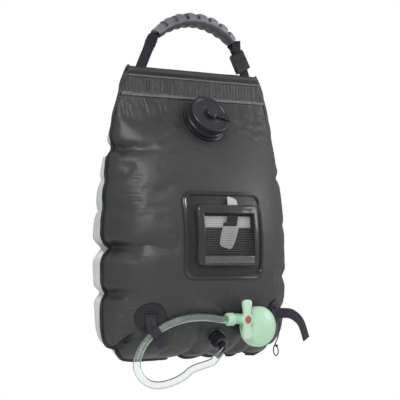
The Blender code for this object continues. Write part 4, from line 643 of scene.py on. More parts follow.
def sheet_finish(name, color, roughness, weave_depth, see_through=0.0, gathered=0.0):
    """Coated sheet: a faint woven base showing through the coating, soft cloudiness, and painted shade that
    darkens its colour in hollows and creases.

    A gathered sheet also has fine pleats below its weld and puckers in groups along both sides.
    """
    look = bpy.data.materials.new(name)
    node = node_maker(look)
    place = node("TexCoord").outputs["Object"]
    axis = node("SeparateXYZ", Vector=place).outputs
    cloud = node("TexNoise", Scale=14.0, Detail=6.0, Vector=place)
    # Painted shade: the colour is darkened where the surface lies in a hollow or crease, from its ambient
    # occlusion.
    hollow = ramp(node, node("AmbientOcclusion", Distance=0.030).outputs["AO"], (0.45, 0.15), (0.92, 1.0))
    threads = [
        node("TexWave", bands_direction=way, Scale=260.0, Distortion=0.4, Vector=place).outputs["Fac"]
        for way in ("X", "Z")
    ]
    woven = node("Math", operation="ADD", a=threads[0], b=threads[1])
    weave = node("Bump", Strength=0.5, Distance=weave_depth, Height=woven)
    crinkle = node("TexNoise", Scale=75.0, Detail=5.0, Vector=place)
    soft = node("Bump", Strength=0.30, Distance=0.0010, Height=crinkle, Normal=weave)
    pleats = node(
        "TexWave", bands_direction="X", Scale=52.0, Distortion=6.5, Detail=2.0, Detail_Scale=1.2,
        Vector=node("Mapping", Scale=(1.0, 0.0, 0.25), Vector=place),
    )
    height_share = node("MapRange", From_Min=HEM_TOP_Z - 0.110, From_Max=HEM_TOP_Z, Value=axis["Z"])
    near_weld = ramp(
        node, height_share, (0.10, 0.0), (0.62, 0.5), (0.52, 0.45), (0.56, 0.0), (0.68, 1.0), (0.84, 1.0),
        (0.90, 0.0),
    )
    leftward = node("MapRange", From_Min=0.09, From_Max=-0.06, To_Min=0.15, To_Max=1.0, Value=axis["X"])
    folds = node(
        "Bump", Distance=gathered, Strength=node("Math", operation="MULTIPLY", a=near_weld, b=leftward),
        Height=pleats.outputs["Fac"], Normal=soft,
    )
    puckers = node(
        "TexWave", bands_direction="Z", Scale=30.0, Distortion=10.0, Detail=2.5, Detail_Scale=1.8,
        Vector=node("Mapping", Scale=(0.22, 0.0, 1.0), Vector=place),
    )
    from_middle = node("Math", operation="ABSOLUTE", a=axis["X"])
    at_side = node("MapRange", From_Min=0.126, From_Max=0.176, Value=from_middle)
    in_groups = node("MapRange", From_Min=0.44, From_Max=0.60, To_Max=0.8, Value=cloud)
    side_folds = node(
        "Bump", Distance=gathered, Strength=node("Math", operation="MULTIPLY", a=at_side, b=in_groups),
        Height=puckers.outputs["Fac"], Normal=folds,
    )
    tint = tinted(node, cloud, color, 0.90, 1.10, 0.30, 0.72)
    shader = node(
        "BsdfPrincipled", Subsurface_Weight=see_through, Subsurface_Radius=(0.010, 0.012, 0.011),
        Coat_Weight=0.10, Coat_Roughness=0.35, Normal=side_folds,
        Base_Color=darkened(node, tint, hollow),
        Roughness=node("MapRange", To_Min=roughness - 0.06, To_Max=roughness + 0.08, Value=cloud),
    )
    node("OutputMaterial", Surface=shader)
    return look


black_sheet = sheet_finish("black_sheet", (0.047, 0.047, 0.047), 0.42, 0.00010, 0.0, 0.0024)
white_sheet = sheet_finish("white_sheet", (0.80, 0.84, 0.83), 0.36, 0.00006, 0.25)
skin_points, skin_faces, skin_numbers = full_bag()
looseness = [1.0] * len(skin_points)
for (skin_side, skin_row, skin_column), skin_number in skin_numbers.items():
    from_edge = min(skin_column, COLUMNS - skin_column, LAST_ROW - skin_row) / 3
    free_here = kept_within(min(from_edge, (skin_row - HEM_ROWS) / 5))
    spot_x, _, spot_z = skin_points[skin_number]
    if skin_side < 0:
        calm_x = (spot_x - CALM_PLACE[0]) / CALM_REACH[0]
        calm_z = (spot_z - CALM_PLACE[1]) / CALM_REACH[1]
        free_here *= (1 - held(spot_x, spot_z)) * (1 - CALM_SHARE * bell(math.hypot(calm_x, calm_z), 1))
    looseness[skin_number] = min(looseness[skin_number], free_here)
skin_points = wrinkled(skin_points, skin_faces, looseness)
for sheet_name, sheet_side, sheet_rows, sheet_look, sheet_slot, sheet_node in (
    ("front_sheet", -1, (HEM_ROWS, LAST_ROW), black_sheet, "black_sheet", "front_panel"),
    ("back_sheet", 1, (HEM_ROWS, LAST_ROW), white_sheet, "white_sheet", "back_panel"),
    ("hem_front", -1, (0, HEM_ROWS), black_sheet, "black_sheet", "top_sleeve"),
    ("hem_back", 1, (0, HEM_ROWS), white_sheet, "white_sheet", "top_sleeve"),
):
    sheet_mesh = sheet_part(sheet_side, *sheet_rows)
    sheet = piece(sheet_name, sheet_mesh, None, sheet_look, "bag", sheet_slot, sheet_node)

# Two seams across the hem, pressed in with a hot bar: a narrow one under the rod's sleeve, and the wide
# weld that closes the bag below. Both stand up a little and shine more than the sheet, and their paler
# grey is a painted highlight along the ridges.
SEAM_SINK = 0.0003


def seam_ridge(drop, width, height, reach_share):
    rows = []
    for step in range(161):
        share = reach_share * (2 * step / 160 - 1)
        middle = HEM_TOP_Z - drop + 0.0007 * wavering(share * 6, 0, drop * 90)
        swell = 1 + 0.25 * wavering(share * 22, 1, drop * 70)
        row = []
        for turn in [math.pi * turn_step / 10 for turn_step in range(11)]:
            x, y, z = sheet_point(-1, share, middle + width / 2 * math.cos(turn))
            row.append((x, y + SEAM_SINK - (height * swell + SEAM_SINK) * math.sin(turn) ** 0.7, z))
        rows.append(row)
    return skin(rows, open_side=True)


# Paler grey than the black sheet: a painted highlight on the seam ridges.
seam_highlight_sheet = sheet_finish("seam_highlight_sheet", (0.165, 0.165, 0.163), 0.32, 0.00008)
piece("hem_weld", seam_ridge(HEM_HEIGHT, 0.0066, 0.0021, 0.985), 50.0, seam_highlight_sheet, "bag", "black_sheet")
piece("sleeve_seam", seam_ridge(0.0145, 0.0046, 0.0012, 0.965), 50.0, seam_highlight_sheet, "bag", "black_sheet")

# The weld round the bag: a flat flange where the two sheets are pressed together, about 4 mm wide.
# It follows the sheets' edge, so it is drawn in wherever a crease pulls, and its rim is a little wavy.
WELD_WIDTH = 0.0040
WELD_THICKNESS = 0.0011
WELD_STEP = 0.0012
WELD_LAP = 0.0015


def weld_flange():
    edge = [skin_numbers[-1, row, 0] for row in range(LAST_ROW + 1)]
    edge += [skin_numbers[-1, LAST_ROW, column] for column in range(1, COLUMNS)]
    edge += [skin_numbers[-1, row, COLUMNS] for row in range(LAST_ROW, -1, -1)]
    line = [Vector(skin_points[number]) for number in edge]
    line = smooth_route([line[0], *line[1:-1:3], line[-1]], 620)
    thick = Vector((0, WELD_THICKNESS, 0))
    rings = []
    for number, point in enumerate(line):
        ahead = heading(line, number, 2)
        outward = Vector((ahead.z, 0, -ahead.x)).normalized()
        points_in = outward.x * point.x < 0 if abs(outward.x) > 0.3 else outward.z > 0
        if points_in:
            outward = -outward
        lift = Vector((0, 0.0012 * wavering(number * 0.09, 4, 1), 0))
        rim = point + outward * (WELD_WIDTH + 0.0007 * wavering(number * 0.11, 0, 5)) + lift
        root = point - outward * WELD_LAP
        middle = point + outward * WELD_STEP
        rings.append([
            root - thick, middle - 0.9 * thick, rim - 0.45 * thick, rim + 0.45 * thick, middle + 0.9 * thick,
            root + thick,
        ])
    return skin(rings, "first last")


piece("weld_flange", weld_flange(), 50.0, black_sheet, "bag", "black_sheet")

# The rod that spreads the hem: a plain grey plastic rod, pushed into the sleeve before its ends are
# welded. The solid of the model stays as it is, with this finish.
ROD_GREY = (0.12, 0.12, 0.12)


def refinish(node_name, look):
    """Gives a solid that stays as it is the finish of the real part."""
    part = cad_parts[node_name]
    part.data.materials.clear()
    part.data.materials.append(look)


refinish("hanger_rod", plastic_finish("grey_plastic", ROD_GREY, 0.5))

# The handle's webbing: black nylon, 19 mm wide and 1.6 mm thick. One length is sewn into the hem on
# the left, runs through the grip and is folded round the bar of the buckle. A short length joins the
# buckle's lower half to the hem on the right. White light catches its close cross ribs.
WEBBING_WIDTH = 0.019
WEBBING = 0.0016
WEBBING_FOOT_X = 0.107
WEBBING_FOOT_Z = HEM_TOP_Z - 0.0035
WEBBING_RIB = 0.0011
BAND_SHARES = (-1, -0.985, -0.94, -0.5, 0, 0.5, 0.94, 0.985, 1)
GRIP_RADIUS = 0.116724
GRIP_HALF_ANGLE = 0.720386
GRIP_ARC = GRIP_RADIUS * GRIP_HALF_ANGLE
GRIP_AXIS_Z = 0.012
STITCH_LENGTH = 0.0026
STITCH_STEP = STITCH_LENGTH + 0.0012
STITCH_RADIUS = 0.00028
STITCH_RISE = 0.0003
STITCH_TURNS = (0, 1.047, 2.094, 3.142, 4.189, 5.236)


def webbing_finish(name, color, rib):
    """Woven nylon: cross ribs, finer lengthwise yarns and worn, fuzzy edges. Its map runs in metres."""
    look = bpy.data.materials.new(name)
    node = node_maker(look)
    place = node("TexCoord").outputs
    ribs = node(
        "TexWave", bands_direction="Y", Scale=1 / rib / math.pi, Distortion=0.6, Detail=1.0,
        Vector=place["UV"],
    )
    yarns = node("TexWave", bands_direction="X", Scale=1 / rib / 2.2, Vector=place["UV"])
    weave = node("Math", operation="MULTIPLY_ADD", a=ribs.outputs["Fac"], b=0.7, c=yarns.outputs["Fac"])
    fuzz = node("TexNoise", Scale=600.0, Vector=place["Object"])
    worn = node("Math", operation="MULTIPLY", a=weave, b=fuzz)
    shader = node(
        "BsdfPrincipled", Sheen_Weight=0.06, Sheen_Roughness=0.4, Roughness=0.70, Specular_IOR_Level=0.3,
        Base_Color=tinted(node, worn, color, 0.45, 1.5, 0.25),
        Normal=node("Bump", Strength=0.8, Distance=0.0003, Height=weave),
    )
    node("OutputMaterial", Surface=shader)
    return look


def band(centres, across, width, thickness):
    """A woven band along its middle line, with soft edges and a map in metres for the weave."""
    rings = []
    chart = []
    travelled = 0.0
    for number, (centre, crosswise) in enumerate(zip(centres, across)):
        travelled += (centre - centres[max(number - 1, 0)]).length
        ahead = heading(centres, number).normalized()
        cross = (crosswise - crosswise.dot(ahead) * ahead).normalized()
        normal = cross.cross(ahead).normalized()
        ring = []
        for face, shares in ((1, BAND_SHARES), (-1, BAND_SHARES[-2:0:-1])):
            for share in shares:
                half = thickness / 2 * (1 - abs(share) ** 10) ** 0.5
                ring.append(centre + cross * (share * width / 2) + normal * (face * half))
                chart.append((share * width / 2, travelled))
        rings.append(ring)
    data = skin(rings, "first last")
    weave_map = data.uv_layers.new(name="weave", do_init=False).data
    for face in data.polygons:
        for corner in face.loop_indices if len(face.vertices) == 4 else ():
            weave_map[corner].uv = chart[data.loops[corner].vertex_index]
    return data


def axes_at(x_axis, y_axis, z_axis, origin):
    """The place of a fitting, from its own three axes and its origin."""
    place = Matrix((x_axis, y_axis, z_axis)).transposed().to_4x4()
    place.translation = origin
    return place


def on_grip_arc(along, rise=0.0):
    angle = along / GRIP_RADIUS
    radius = GRIP_RADIUS + rise
    return Vector((radius * math.sin(angle), 0, GRIP_AXIS_Z - GRIP_RADIUS + radius * math.cos(angle)))


def soft_step(value, low, high):
    share = kept_within((value - low) / (high - low))
    return share * share * (3 - 2 * share)


def turning_band(start, end, first_across, last_across, turn_from=0.0, turn_to=1.0):
    """Middle line and cross directions of a band that turns as it runs."""
    shares = [step / 32 for step in range(33)]
    eased = [soft_step(share, turn_from, turn_to) for share in shares]
    across = [first_across.lerp(last_across, share).normalized() for share in eased]
    return [start.lerp(end, share) for share in shares], across


def sewn_rows(name, rows, body):
    """Rows of machine stitches: each stitch is a short thread that dips in at both ends."""
    stitches = []
    for start, end, normal in rows:
        way = (end - start).normalized()
        side = way.cross(normal).normalized()
        for number in range(max(1, int((end - start).length / STITCH_STEP))):
            rings = []
            for share in (0, 0.25, 0.5, 0.75, 1):
                arch = math.sin(share * math.pi)
                middle = start + way * (number * STITCH_STEP + STITCH_LENGTH * share)
                middle += normal * (STITCH_RISE * arch - STITCH_RISE / 3)
                radius = STITCH_RADIUS * (0.5 + 0.5 * arch)
                rings.append([
                    middle + radius * (math.cos(turn) * side + math.sin(turn) * normal)
                    for turn in STITCH_TURNS
                ])
            stitches.append(skin(rings, "first last"))
    piece(name, joined(stitches), 60.0, black_thread, body, "webbing")


black_webbing = webbing_finish("black_webbing", (0.034, 0.030, 0.046), WEBBING_RIB)
black_thread = braid_finish("black_thread", (0.045, 0.042, 0.050), 900.0)
rightward = Vector((1, 0, 0))
forward = Vector((0, -1, 0))
buckle_place = axes_at((0.88042, 0, 0.47419), (-0.47419, 0, 0.88042), forward, (0.0929, 0, -0.04652))
buckle_across = buckle_place.col[0].to_3d()
left_end = on_grip_arc(-GRIP_ARC)
left_out = left_end + (left_end - on_grip_arc(-GRIP_ARC + 0.001)).normalized() * 0.00633
in_mouth = (forward + rightward).normalized()
band_line, band_across = turning_band(
    Vector((-WEBBING_FOOT_X, 0, WEBBING_FOOT_Z)), left_out, rightward, in_mouth, 0.60, 1.0,
)
for step in range(41):
    band_line.append(on_grip_arc(GRIP_ARC * (2 * step / 40 - 1)))
    band_across.append(in_mouth.lerp(forward, soft_step(step, 0, 4)).normalized())
more_line, more_across = turning_band(
    on_grip_arc(GRIP_ARC), buckle_place @ Vector((0, 0.0120, 0)), forward, buckle_across, 0.0, 0.5,
)
handle_mesh = band(band_line + more_line[1:], band_across + more_across[1:], WEBBING_WIDTH, WEBBING)
handle_band = piece("handle_band", handle_mesh, 50.0, black_webbing, None, "webbing", "handle_webbing")
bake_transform(handle_band)
lower_line, lower_across = turning_band(
    buckle_place @ Vector((0, -0.0200, 0)), Vector((WEBBING_FOOT_X, 0, WEBBING_FOOT_Z)), buckle_across,
    rightward,
)
lower_mesh = band(lower_line, lower_across, WEBBING_WIDTH, WEBBING)
lower_band = piece("lower_band", lower_mesh, 50.0, black_webbing, None, "webbing", "lower_webbing")
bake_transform(lower_band)
tail_line = [
    buckle_place @ Vector((0.0006 * step, 0.0145 + 0.0016 * step, 0.0032 + 0.00025 * step))
    for step in range(12)
]
tail_mesh = band(tail_line, [buckle_across] * 12, WEBBING_WIDTH * 0.97, WEBBING)
piece("webbing_tail", tail_mesh, 50.0, black_webbing, "handle", "webbing")
sewn_rows(
    "tail_stitches",
    [
        [*[buckle_place @ Vector((x, height, 0.0043)) for x in (-0.0075, 0.0085)], forward]
        for height in (0.0185, 0.0285)
    ],
    "handle",
)

# The grip: soft black rubber moulded round the webbing, 165 mm long and curved like the carrying hand.
# Its top has seven crosswise slots, its edges a raised lip and its underside shallow finger ribs.
GRIP_WIDTH = 0.030
GRIP_DEPTH = 0.024
GRIP_END_SHARE = 0.72
GRIP_SLOTS = 7
GRIP_SLOT_LENGTH = 0.0062
GRIP_SLOT_DEPTH_SHARE = 0.30
GRIP_SLOT_SIDE_SHARE = 0.25
GRIP_SLOTTED_SHARE = 0.78
GRIP_CROWN = 0.0010
GRIP_LIP = 0.0013
GRIP_RIBS = 9
GRIP_RIB_HEIGHT = 0.0018
GRIP_STEPS = 300
GRIP_TURNS = [2 * math.pi * step / 64 for step in range(64)]
TUNNEL_WIDTH = 0.0215
TUNNEL_DEPTH = 0.0036


def filled_out(value, power):
    """A sine or cosine with its curve filled out, for a squarer oval."""
    return math.copysign(abs(value) ** power, value)


def grip_ring(along):
    """The grip's outline at a place along it, in local width and height."""
    share = along / GRIP_ARC
    taper = 1 - (1 - GRIP_END_SHARE) * share ** 4
    pitch = 2 * GRIP_ARC * GRIP_SLOTTED_SHARE / (GRIP_SLOTS - 1)
    nearest = min(abs(along - (number - (GRIP_SLOTS - 1) / 2) * pitch) for number in range(GRIP_SLOTS))
    slot = 1 - soft_step(nearest, GRIP_SLOT_LENGTH / 2 - 0.0005, GRIP_SLOT_LENGTH / 2 + 0.0006)
    crown = -GRIP_CROWN * math.cos(math.pi * min(1.0, nearest / (pitch / 2))) if abs(share) < 0.86 else 0.0
    wave = 0.5 - 0.5 * math.cos(share * math.pi * GRIP_RIBS) if abs(share) < 0.9 else 0.0
    ring = []
    for turn in GRIP_TURNS:
        sine = math.sin(turn)
        above_lip = soft_step(sine, 0.02, 0.16)
        across = filled_out(math.cos(turn), 0.85) * GRIP_WIDTH / 2 * taper
        across *= 1 - slot * above_lip * GRIP_SLOT_SIDE_SHARE
        across += math.copysign(GRIP_LIP * bell(sine + 0.18, 0.13) * taper, across)
        height = filled_out(sine, 0.90) * GRIP_DEPTH / 2 * taper
        if height > 0:
            height = height * (1 - slot * above_lip * GRIP_SLOT_DEPTH_SHARE) + (1 - slot) * crown * sine
        else:
            height += GRIP_RIB_HEIGHT * wave * min(1.0, -height / 0.006)
        ring.append((across, height))
    return ring


def grip_mesh():
    """The rubber from one end to the other. Each end turns in to the mouth of the webbing's tunnel."""
    tunnel = []
    for turn in GRIP_TURNS:
        across = filled_out(math.cos(turn), 0.3) * TUNNEL_WIDTH / 2
        tunnel.append((across, filled_out(math.sin(turn), 0.6) * TUNNEL_DEPTH / 2))
    end = [
        (0.95, tunnel),
        (1.0, [(across * 1.05, height * 1.2) for across, height in tunnel]),
        (1.0, [(across * 0.90, height * 0.90) for across, height in grip_ring(GRIP_ARC)]),
        (0.992, grip_ring(GRIP_ARC * 0.995)),
    ]
    outlines = [(-GRIP_ARC * share, outline) for share, outline in end]
    for step in range(1, GRIP_STEPS):
        along = GRIP_ARC * 0.985 * (2 * step / GRIP_STEPS - 1)
        outlines.append((along, grip_ring(along)))
    outlines += [(GRIP_ARC * share, outline) for share, outline in end[::-1]]
    rings = []
    for along, outline in outlines:
        rings.append([on_grip_arc(along, height) - across * forward for across, height in outline])
    return skin(rings, "first last")


def grip_painted_shade(node, tint):
    """Painted shade: the colour is darkened in the slots and on the grip's underside, below its middle."""
    # Painted shade in the slots, from their ambient occlusion.
    hollow = ramp(node, node("AmbientOcclusion", Distance=0.010).outputs["AO"], (0.45, 0.03), (0.95, 1.0))
    from_axis = node(
        "VectorMath", operation="SUBTRACT", a=node("TexCoord").outputs["Object"],
        b=(0, 0, GRIP_AXIS_Z - GRIP_RADIUS),
    )
    flat = node("VectorMath", operation="MULTIPLY", a=from_axis, b=(1, 0, 1))
    outward = node("VectorMath", operation="LENGTH", a=flat).outputs["Value"]
    # Painted shade on the underside: darker on the side that faces the centre of the grip's curve.
    under = node(
        "MapRange", From_Min=GRIP_RADIUS - 0.0045, From_Max=GRIP_RADIUS - 0.0015, To_Min=0.30, To_Max=1.0,
        Value=outward,
    )
    return darkened(node, darkened(node, tint, hollow), under)


# The grip's colour gets painted shade in its slots and on its underside.
grip_rubber = plastic_finish(
    "grip_rubber", (0.200, 0.195, 0.222), 0.40, 0.0004, 420.0, 0.28, 0.20, painted_shade=grip_painted_shade,
)
piece("rubber_grip", grip_mesh(), 48.0, grip_rubber, "handle", "grip_rubber", "grip")

# The side-release buckle: black acetal. The plug's base and its springy prongs slide into the socket,
# and the prongs' shoulders show in the socket's side windows.
BUCKLE_RIBS = 4
BUCKLE_RIB_STEP = 0.0030
black_plastic = plastic_finish("black_plastic", (0.014, 0.013, 0.018), 0.25, 0.0001, 700.0, 0.12, 0.40)
for buckle_node in ("buckle_plug", "buckle_socket", "buckle_prong_left", "buckle_prong_right"):
    refinish(buckle_node, black_plastic)


def rounded_bar(name, size, place, offset, edge, body):
    """A moulded block of black plastic with rounded edges and gently crowned faces."""
    bm = bmesh.new()
    bmesh.ops.create_cube(bm, size=1.0)
    bmesh.ops.subdivide_edges(bm, edges=bm.edges, cuts=5, use_grid_fill=True)
    limits = [length / 2 - edge for length in size]
    for vertex in bm.verts:
        spot = Vector([share * length for share, length in zip(vertex.co, size)])
        inner = Vector([max(-limit, min(limit, part)) for part, limit in zip(spot, limits)])
        out = spot - inner
        vertex.co = inner + out.normalized() * min(edge, max(abs(part) for part in out))
    data = mesh_of(bm)
    data.transform(place @ Matrix.Translation(offset))
    piece(name, data, 40.0, black_plastic, body, "black_plastic")


for rib_number in range(BUCKLE_RIBS):
    rounded_bar(
        f"buckle_rib_{rib_number + 1}", (0.0150, 0.0010, 0.0008), buckle_place,
        (0, -0.0040 - BUCKLE_RIB_STEP * rib_number, 0.0045), 0.00038, "handle",
    )
rounded_bar("buckle_throat", (0.0276, 0.0040, 0.0074), buckle_place, (0, 0, 0), 0.0008, "handle")
rounded_bar("buckle_bar", (0.0280, 0.0034, 0.0052), buckle_place, (0, 0.0127, 0.0010), 0.0015, "handle")

# The fill opening: a threaded black neck on a round flange, welded to the front near the hem.
# The thread is a single raised ridge that winds up the spout.
FILL_PLACE = axes_at(rightward, (0, 0.51005, 0.86015), (0, -0.86015, 0.51005), (0, -0.02619, -0.16077))
NECK_CREST = 0.0270
NECK_THREAD = 0.0009
NECK_PITCH = 0.0040
NECK_BORE = 0.0225
NECK_FLANGE_RADIUS = 0.0385
NECK_PROFILE = [
    (NECK_BORE, 0.0002), (NECK_BORE, 0.0168), (NECK_BORE + 0.0008, 0.0170), (NECK_CREST - 0.0011, 0.0170),
    *[(NECK_CREST - 0.0002, 0.0166 - 0.00024 * step) for step in range(48)],
    (NECK_CREST, 0.0048), (NECK_CREST + 0.0012, 0.0045), (0.0370, 0.0045), (0.0382, 0.0040),
    (NECK_FLANGE_RADIUS, 0.0028), (NECK_FLANGE_RADIUS, 0.0002),
]


def revolved(profile, steps, place, shape=None):
    """A turned piece from its profile of radius and height; shape may change a radius with its turn."""
    rings = []
    for radius, height in profile:
        ring = []
        for turn in [2 * math.pi * step / steps for step in range(steps if radius > 0 else 1)]:
            wide = shape(radius, height, turn) if shape else radius
            ring.append((wide * math.cos(turn), wide * math.sin(turn), height))
        rings.append(ring)
    data = skin(rings)
    data.transform(place)
    return data


def softened(profile, radius):
    """The profile with its corners rounded by up to the given radius."""
    points = [Vector(spot) for spot in profile]
    rounded = [profile[0]]
    for before, corner, after in zip(points, points[1:], points[2:]):
        reach = min(radius, 0.45 * (before - corner).length, 0.45 * (after - corner).length)
        first = corner + (before - corner).normalized() * reach
        last = corner + (after - corner).normalized() * reach
        for share in (0, 1 / 3, 2 / 3, 1):
            spot = (1 - share) ** 2 * first + 2 * share * (1 - share) * corner + share ** 2 * last
            rounded.append(tuple(spot))
    return [*rounded, profile[-1]]


def threaded(radius, height, turn):
    if radius < NECK_CREST - 0.0012 or not 0.0052 < height < 0.0165:
        return radius
    phase = (height / NECK_PITCH - turn / (2 * math.pi)) % 1
    if phase == 0:
        return radius
    return NECK_CREST - NECK_THREAD * (1 - soft_step(abs(phase - 0.5), 0.20, 0.38))


spout_mesh = revolved(NECK_PROFILE, 96, FILL_PLACE, threaded)
piece("fill_spout", spout_mesh, 32.0, black_plastic, "bag", "black_plastic", "fill_neck")

# The cap: black plastic, 71 mm across. Its wall has a plain lower bead, a groove and a fluted upper
# band, and its dished face has a raised rim. A rubber washer inside it seals on the neck.
CAP_RADIUS = 0.0355
CAP_LOW = 0.0049
CAP_HIGH = 0.0259
CAP_FACE = 0.0247
CAP_FLUTES = 52
CAP_FLUTE_DEPTH = 0.00055
CAP_PROFILE = (
    (0, CAP_FACE + 0.0045), (0.0060, CAP_FACE + 0.0045), (0.0062, CAP_FACE), (0.0150, CAP_FACE),
    (0.0155, CAP_FACE + 0.0003), (0.0165, CAP_FACE + 0.0003), (0.0170, CAP_FACE), (0.0290, CAP_FACE),
    (0.0303, CAP_HIGH), (0.0342, CAP_HIGH), (CAP_RADIUS, CAP_HIGH - 0.0013), (CAP_RADIUS, CAP_LOW + 0.0100),
    (CAP_RADIUS - 0.0001, CAP_LOW + 0.0090), (CAP_RADIUS - 0.0019, CAP_LOW + 0.0082),
    (CAP_RADIUS - 0.0019, CAP_LOW + 0.0064), (CAP_RADIUS - 0.0001, CAP_LOW + 0.0056),
    (CAP_RADIUS, CAP_LOW + 0.0008), (CAP_RADIUS - 0.0008, CAP_LOW), (0.0275, CAP_LOW), (0.0274, 0.0214),
    (0, 0.0214),
)
BUTTON_PROFILE = (
    (0, 0.0322), (0.0030, 0.0322), (0.0036, 0.0318), (0.0070, 0.0319), (0.0090, 0.0311), (0.0098, 0.0293),
    (0.0060, 0.0292), (0, 0.0292),
)


def fluted_wall(radius, height, turn):
    if radius < CAP_RADIUS - 0.0004 or not CAP_LOW + 0.0095 < height < CAP_HIGH - 0.0012:
        return radius
    return radius - CAP_FLUTE_DEPTH * (0.5 - 0.5 * math.cos(turn * CAP_FLUTES))


cap_plastic = plastic_finish("cap_plastic", (0.028, 0.025, 0.033), 0.30, 0.00008, 800.0, 0.14, 0.12)
cap_shell = revolved(softened(CAP_PROFILE, 0.0006), 208, FILL_PLACE, fluted_wall)
piece("screw_cap", cap_shell, 28.0, cap_plastic, "cap", "black_plastic", "fill_cap")
cap_button = revolved(softened(BUTTON_PROFILE, 0.0005), 72, FILL_PLACE)
piece("cap_knob", cap_button, 32.0, cap_plastic, "cap", "black_plastic", "cap_button")
refinish("fill_gasket", plastic_finish("seal_rubber", (0.03, 0.03, 0.03), 0.7))

# The tether: one piece of soft black plastic. Its eye turns round the cap's boss, its arm crosses the
# rim and its leg runs down beside the cap to the flange, so the cap can't be lost.
TETHER_PLACE = FILL_PLACE @ Matrix.Rotation(math.radians(-14.0), 4, "Z")
TETHER_WIDTH = 0.0095
TETHER_THICKNESS = 0.0016
TETHER_BEAD = 0.0011
TETHER_EYE = 0.0105
TETHER_EYE_HOLE = 0.0067
TETHER_LOW = CAP_HIGH + 0.0001
TETHER_MID = TETHER_LOW + TETHER_THICKNESS / 2
TETHER_HIGH = TETHER_LOW + TETHER_THICKNESS
TETHER_REACH = CAP_RADIUS + 0.0006 + TETHER_THICKNESS / 2
TETHER_EYE_PROFILE = (
    (TETHER_EYE_HOLE, TETHER_HIGH), (TETHER_EYE, TETHER_HIGH), (TETHER_EYE, TETHER_LOW),
    (TETHER_EYE_HOLE, TETHER_LOW), (TETHER_EYE_HOLE, TETHER_HIGH),
)
TETHER_ROUTE = (
    (0.0085, TETHER_MID), (0.0150, TETHER_MID), (0.0220, TETHER_MID + 0.0002), (0.0290, TETHER_MID + 0.0002),
    (TETHER_REACH - 0.0028, TETHER_MID), (TETHER_REACH - 0.0008, TETHER_MID - 0.0008),
    (TETHER_REACH, TETHER_MID - 0.0028), (TETHER_REACH, 0.0200), (TETHER_REACH, 0.0140),
    (TETHER_REACH, 0.0080), (TETHER_REACH, 0.0062),
)
tether_line = smooth_route([TETHER_PLACE @ Vector((x, 0, z)) for x, z in TETHER_ROUTE], 60)
tether_cross = TETHER_PLACE.col[1].to_3d()
tether_parts = [
    revolved(softened(TETHER_EYE_PROFILE, 0.0004), 64, TETHER_PLACE),
    band(tether_line, [tether_cross] * 60, TETHER_WIDTH, TETHER_THICKNESS),
]
for tether_side in (-1, 1):
    tether_shift = tether_cross * tether_side * (TETHER_WIDTH / 2 - 0.0007)
    tether_edge = [spot + tether_shift for spot in tether_line[6:-2]]
    tether_parts.append(swept(tether_edge, [TETHER_BEAD] * len(tether_edge), 10))
piece("tether_strap", joined(tether_parts), 40.0, black_plastic, "tether", "black_plastic", "cap_tether")

# The soap pocket: a sheet of clear PVC and a glossy black rim are welded to the front, 157 mm wide and
# 142 mm high. Inside the rim sits a shallow clear-fronted tray with a net window; it is open on top.
POCKET_Z = -0.3480
POCKET_WIDTH = 0.157
POCKET_HEIGHT = 0.142
POCKET_CORNER = 0.019
TRAY_WIDTH = 0.119
TRAY_HEIGHT = 0.099
TRAY_CORNER = 0.009
TRAY_LIFT = 0.0115
WINDOW_WIDTH = 0.098
WINDOW_HEIGHT = 0.070
WINDOW_RISE = 0.001
NET_CELL = 0.0045
NET_THREAD = 0.0007
NET_MARGIN = 0.003
# Both beads, from their outside in: inset from the outline, and height above the sheet.
RIM_PROFILE = (
    (-0.0002, -0.0005), (0.0, 0.0010), (0.0006, 0.0022), (0.0016, 0.0030), (0.0028, 0.0026),
    (0.0034, 0.0021), (0.0040, 0.0026), (0.0052, 0.0031), (0.0062, 0.0024), (0.0068, 0.0010),
    (0.0070, -0.0005),
)
TRAY_PROFILE = (
    (-0.0004, 0.0012), (0.0002, 0.0060), (0.0010, 0.0100), (0.0024, 0.0116), (0.0045, 0.0118),
    (0.0075, 0.0115), (0.0098, 0.0117), (0.0106, 0.0112), (0.0107, 0.0100),
)


def on_front(x, z, lift):
    """A point at a height above the uncreased front sheet."""
    across = min(1.0, abs(x) / bag_half_width(z))
    round_off = (1 - across ** ACROSS_POWER) ** FRONT_EDGE_POWER
    return Vector((x, -(SHEET + FRONT_BULGE * bag_swell(z) * round_off) - lift, z))


def rounded_loop(width, height, corner):
    """An even loop round a rectangle with round corners, starting at its right side."""
    arcs = []
    for quarter, (sign_x, sign_y) in enumerate(((1, 1), (-1, 1), (-1, -1), (1, -1))):
        middle = Vector((sign_x * (width / 2 - corner), sign_y * (height / 2 - corner)))
        turns = [math.pi / 2 * (quarter + step / 12) for step in range(13)]
        arcs.append([middle + corner * Vector((math.cos(turn), math.sin(turn))) for turn in turns])
    loop = []
    for arc, following in zip(arcs, arcs[1:] + arcs[:1]):
        loop += arc + [arc[-1].lerp(following[0], step / 26) for step in range(1, 26)]
    return loop


def draped_rim(width, height, corner, profile, lift=0.0, ribbing=0.0):
    """A bead round a rounded rectangle on the front, with fine ribs across it."""
    rings = []
    for inset, rise in profile:
        loop = rounded_loop(width - 2 * inset, height - 2 * inset, max(0.002, corner - inset))
        ring = []
        for number, spot in enumerate(loop):
            rib = ribbing if rise > 0 and number % 2 == 0 else 0.0
            ring.append(on_front(spot.x, POCKET_Z + spot.y, lift + rise + rib))
        rings.append(ring)
    return skin(rings)


def draped_film(width, height, corner, lift, ripple):
    """A thin clear film on the front, a little slack between its welded edges."""
    rings = []
    for share in [1 - step / 16 for step in range(17)]:
        loop = rounded_loop(width * max(0.02, share), height * max(0.02, share), max(0.0004, corner * share))
        slack = ripple * min(1.0, (1 - share) * 5)
        ring = []
        for x, y in loop:
            ring.append(on_front(x, POCKET_Z + y, lift + slack * (0.6 + wavering(x * 28, y * 18, 3.0))))
        rings.append(ring)
    return skin(rings, "last")


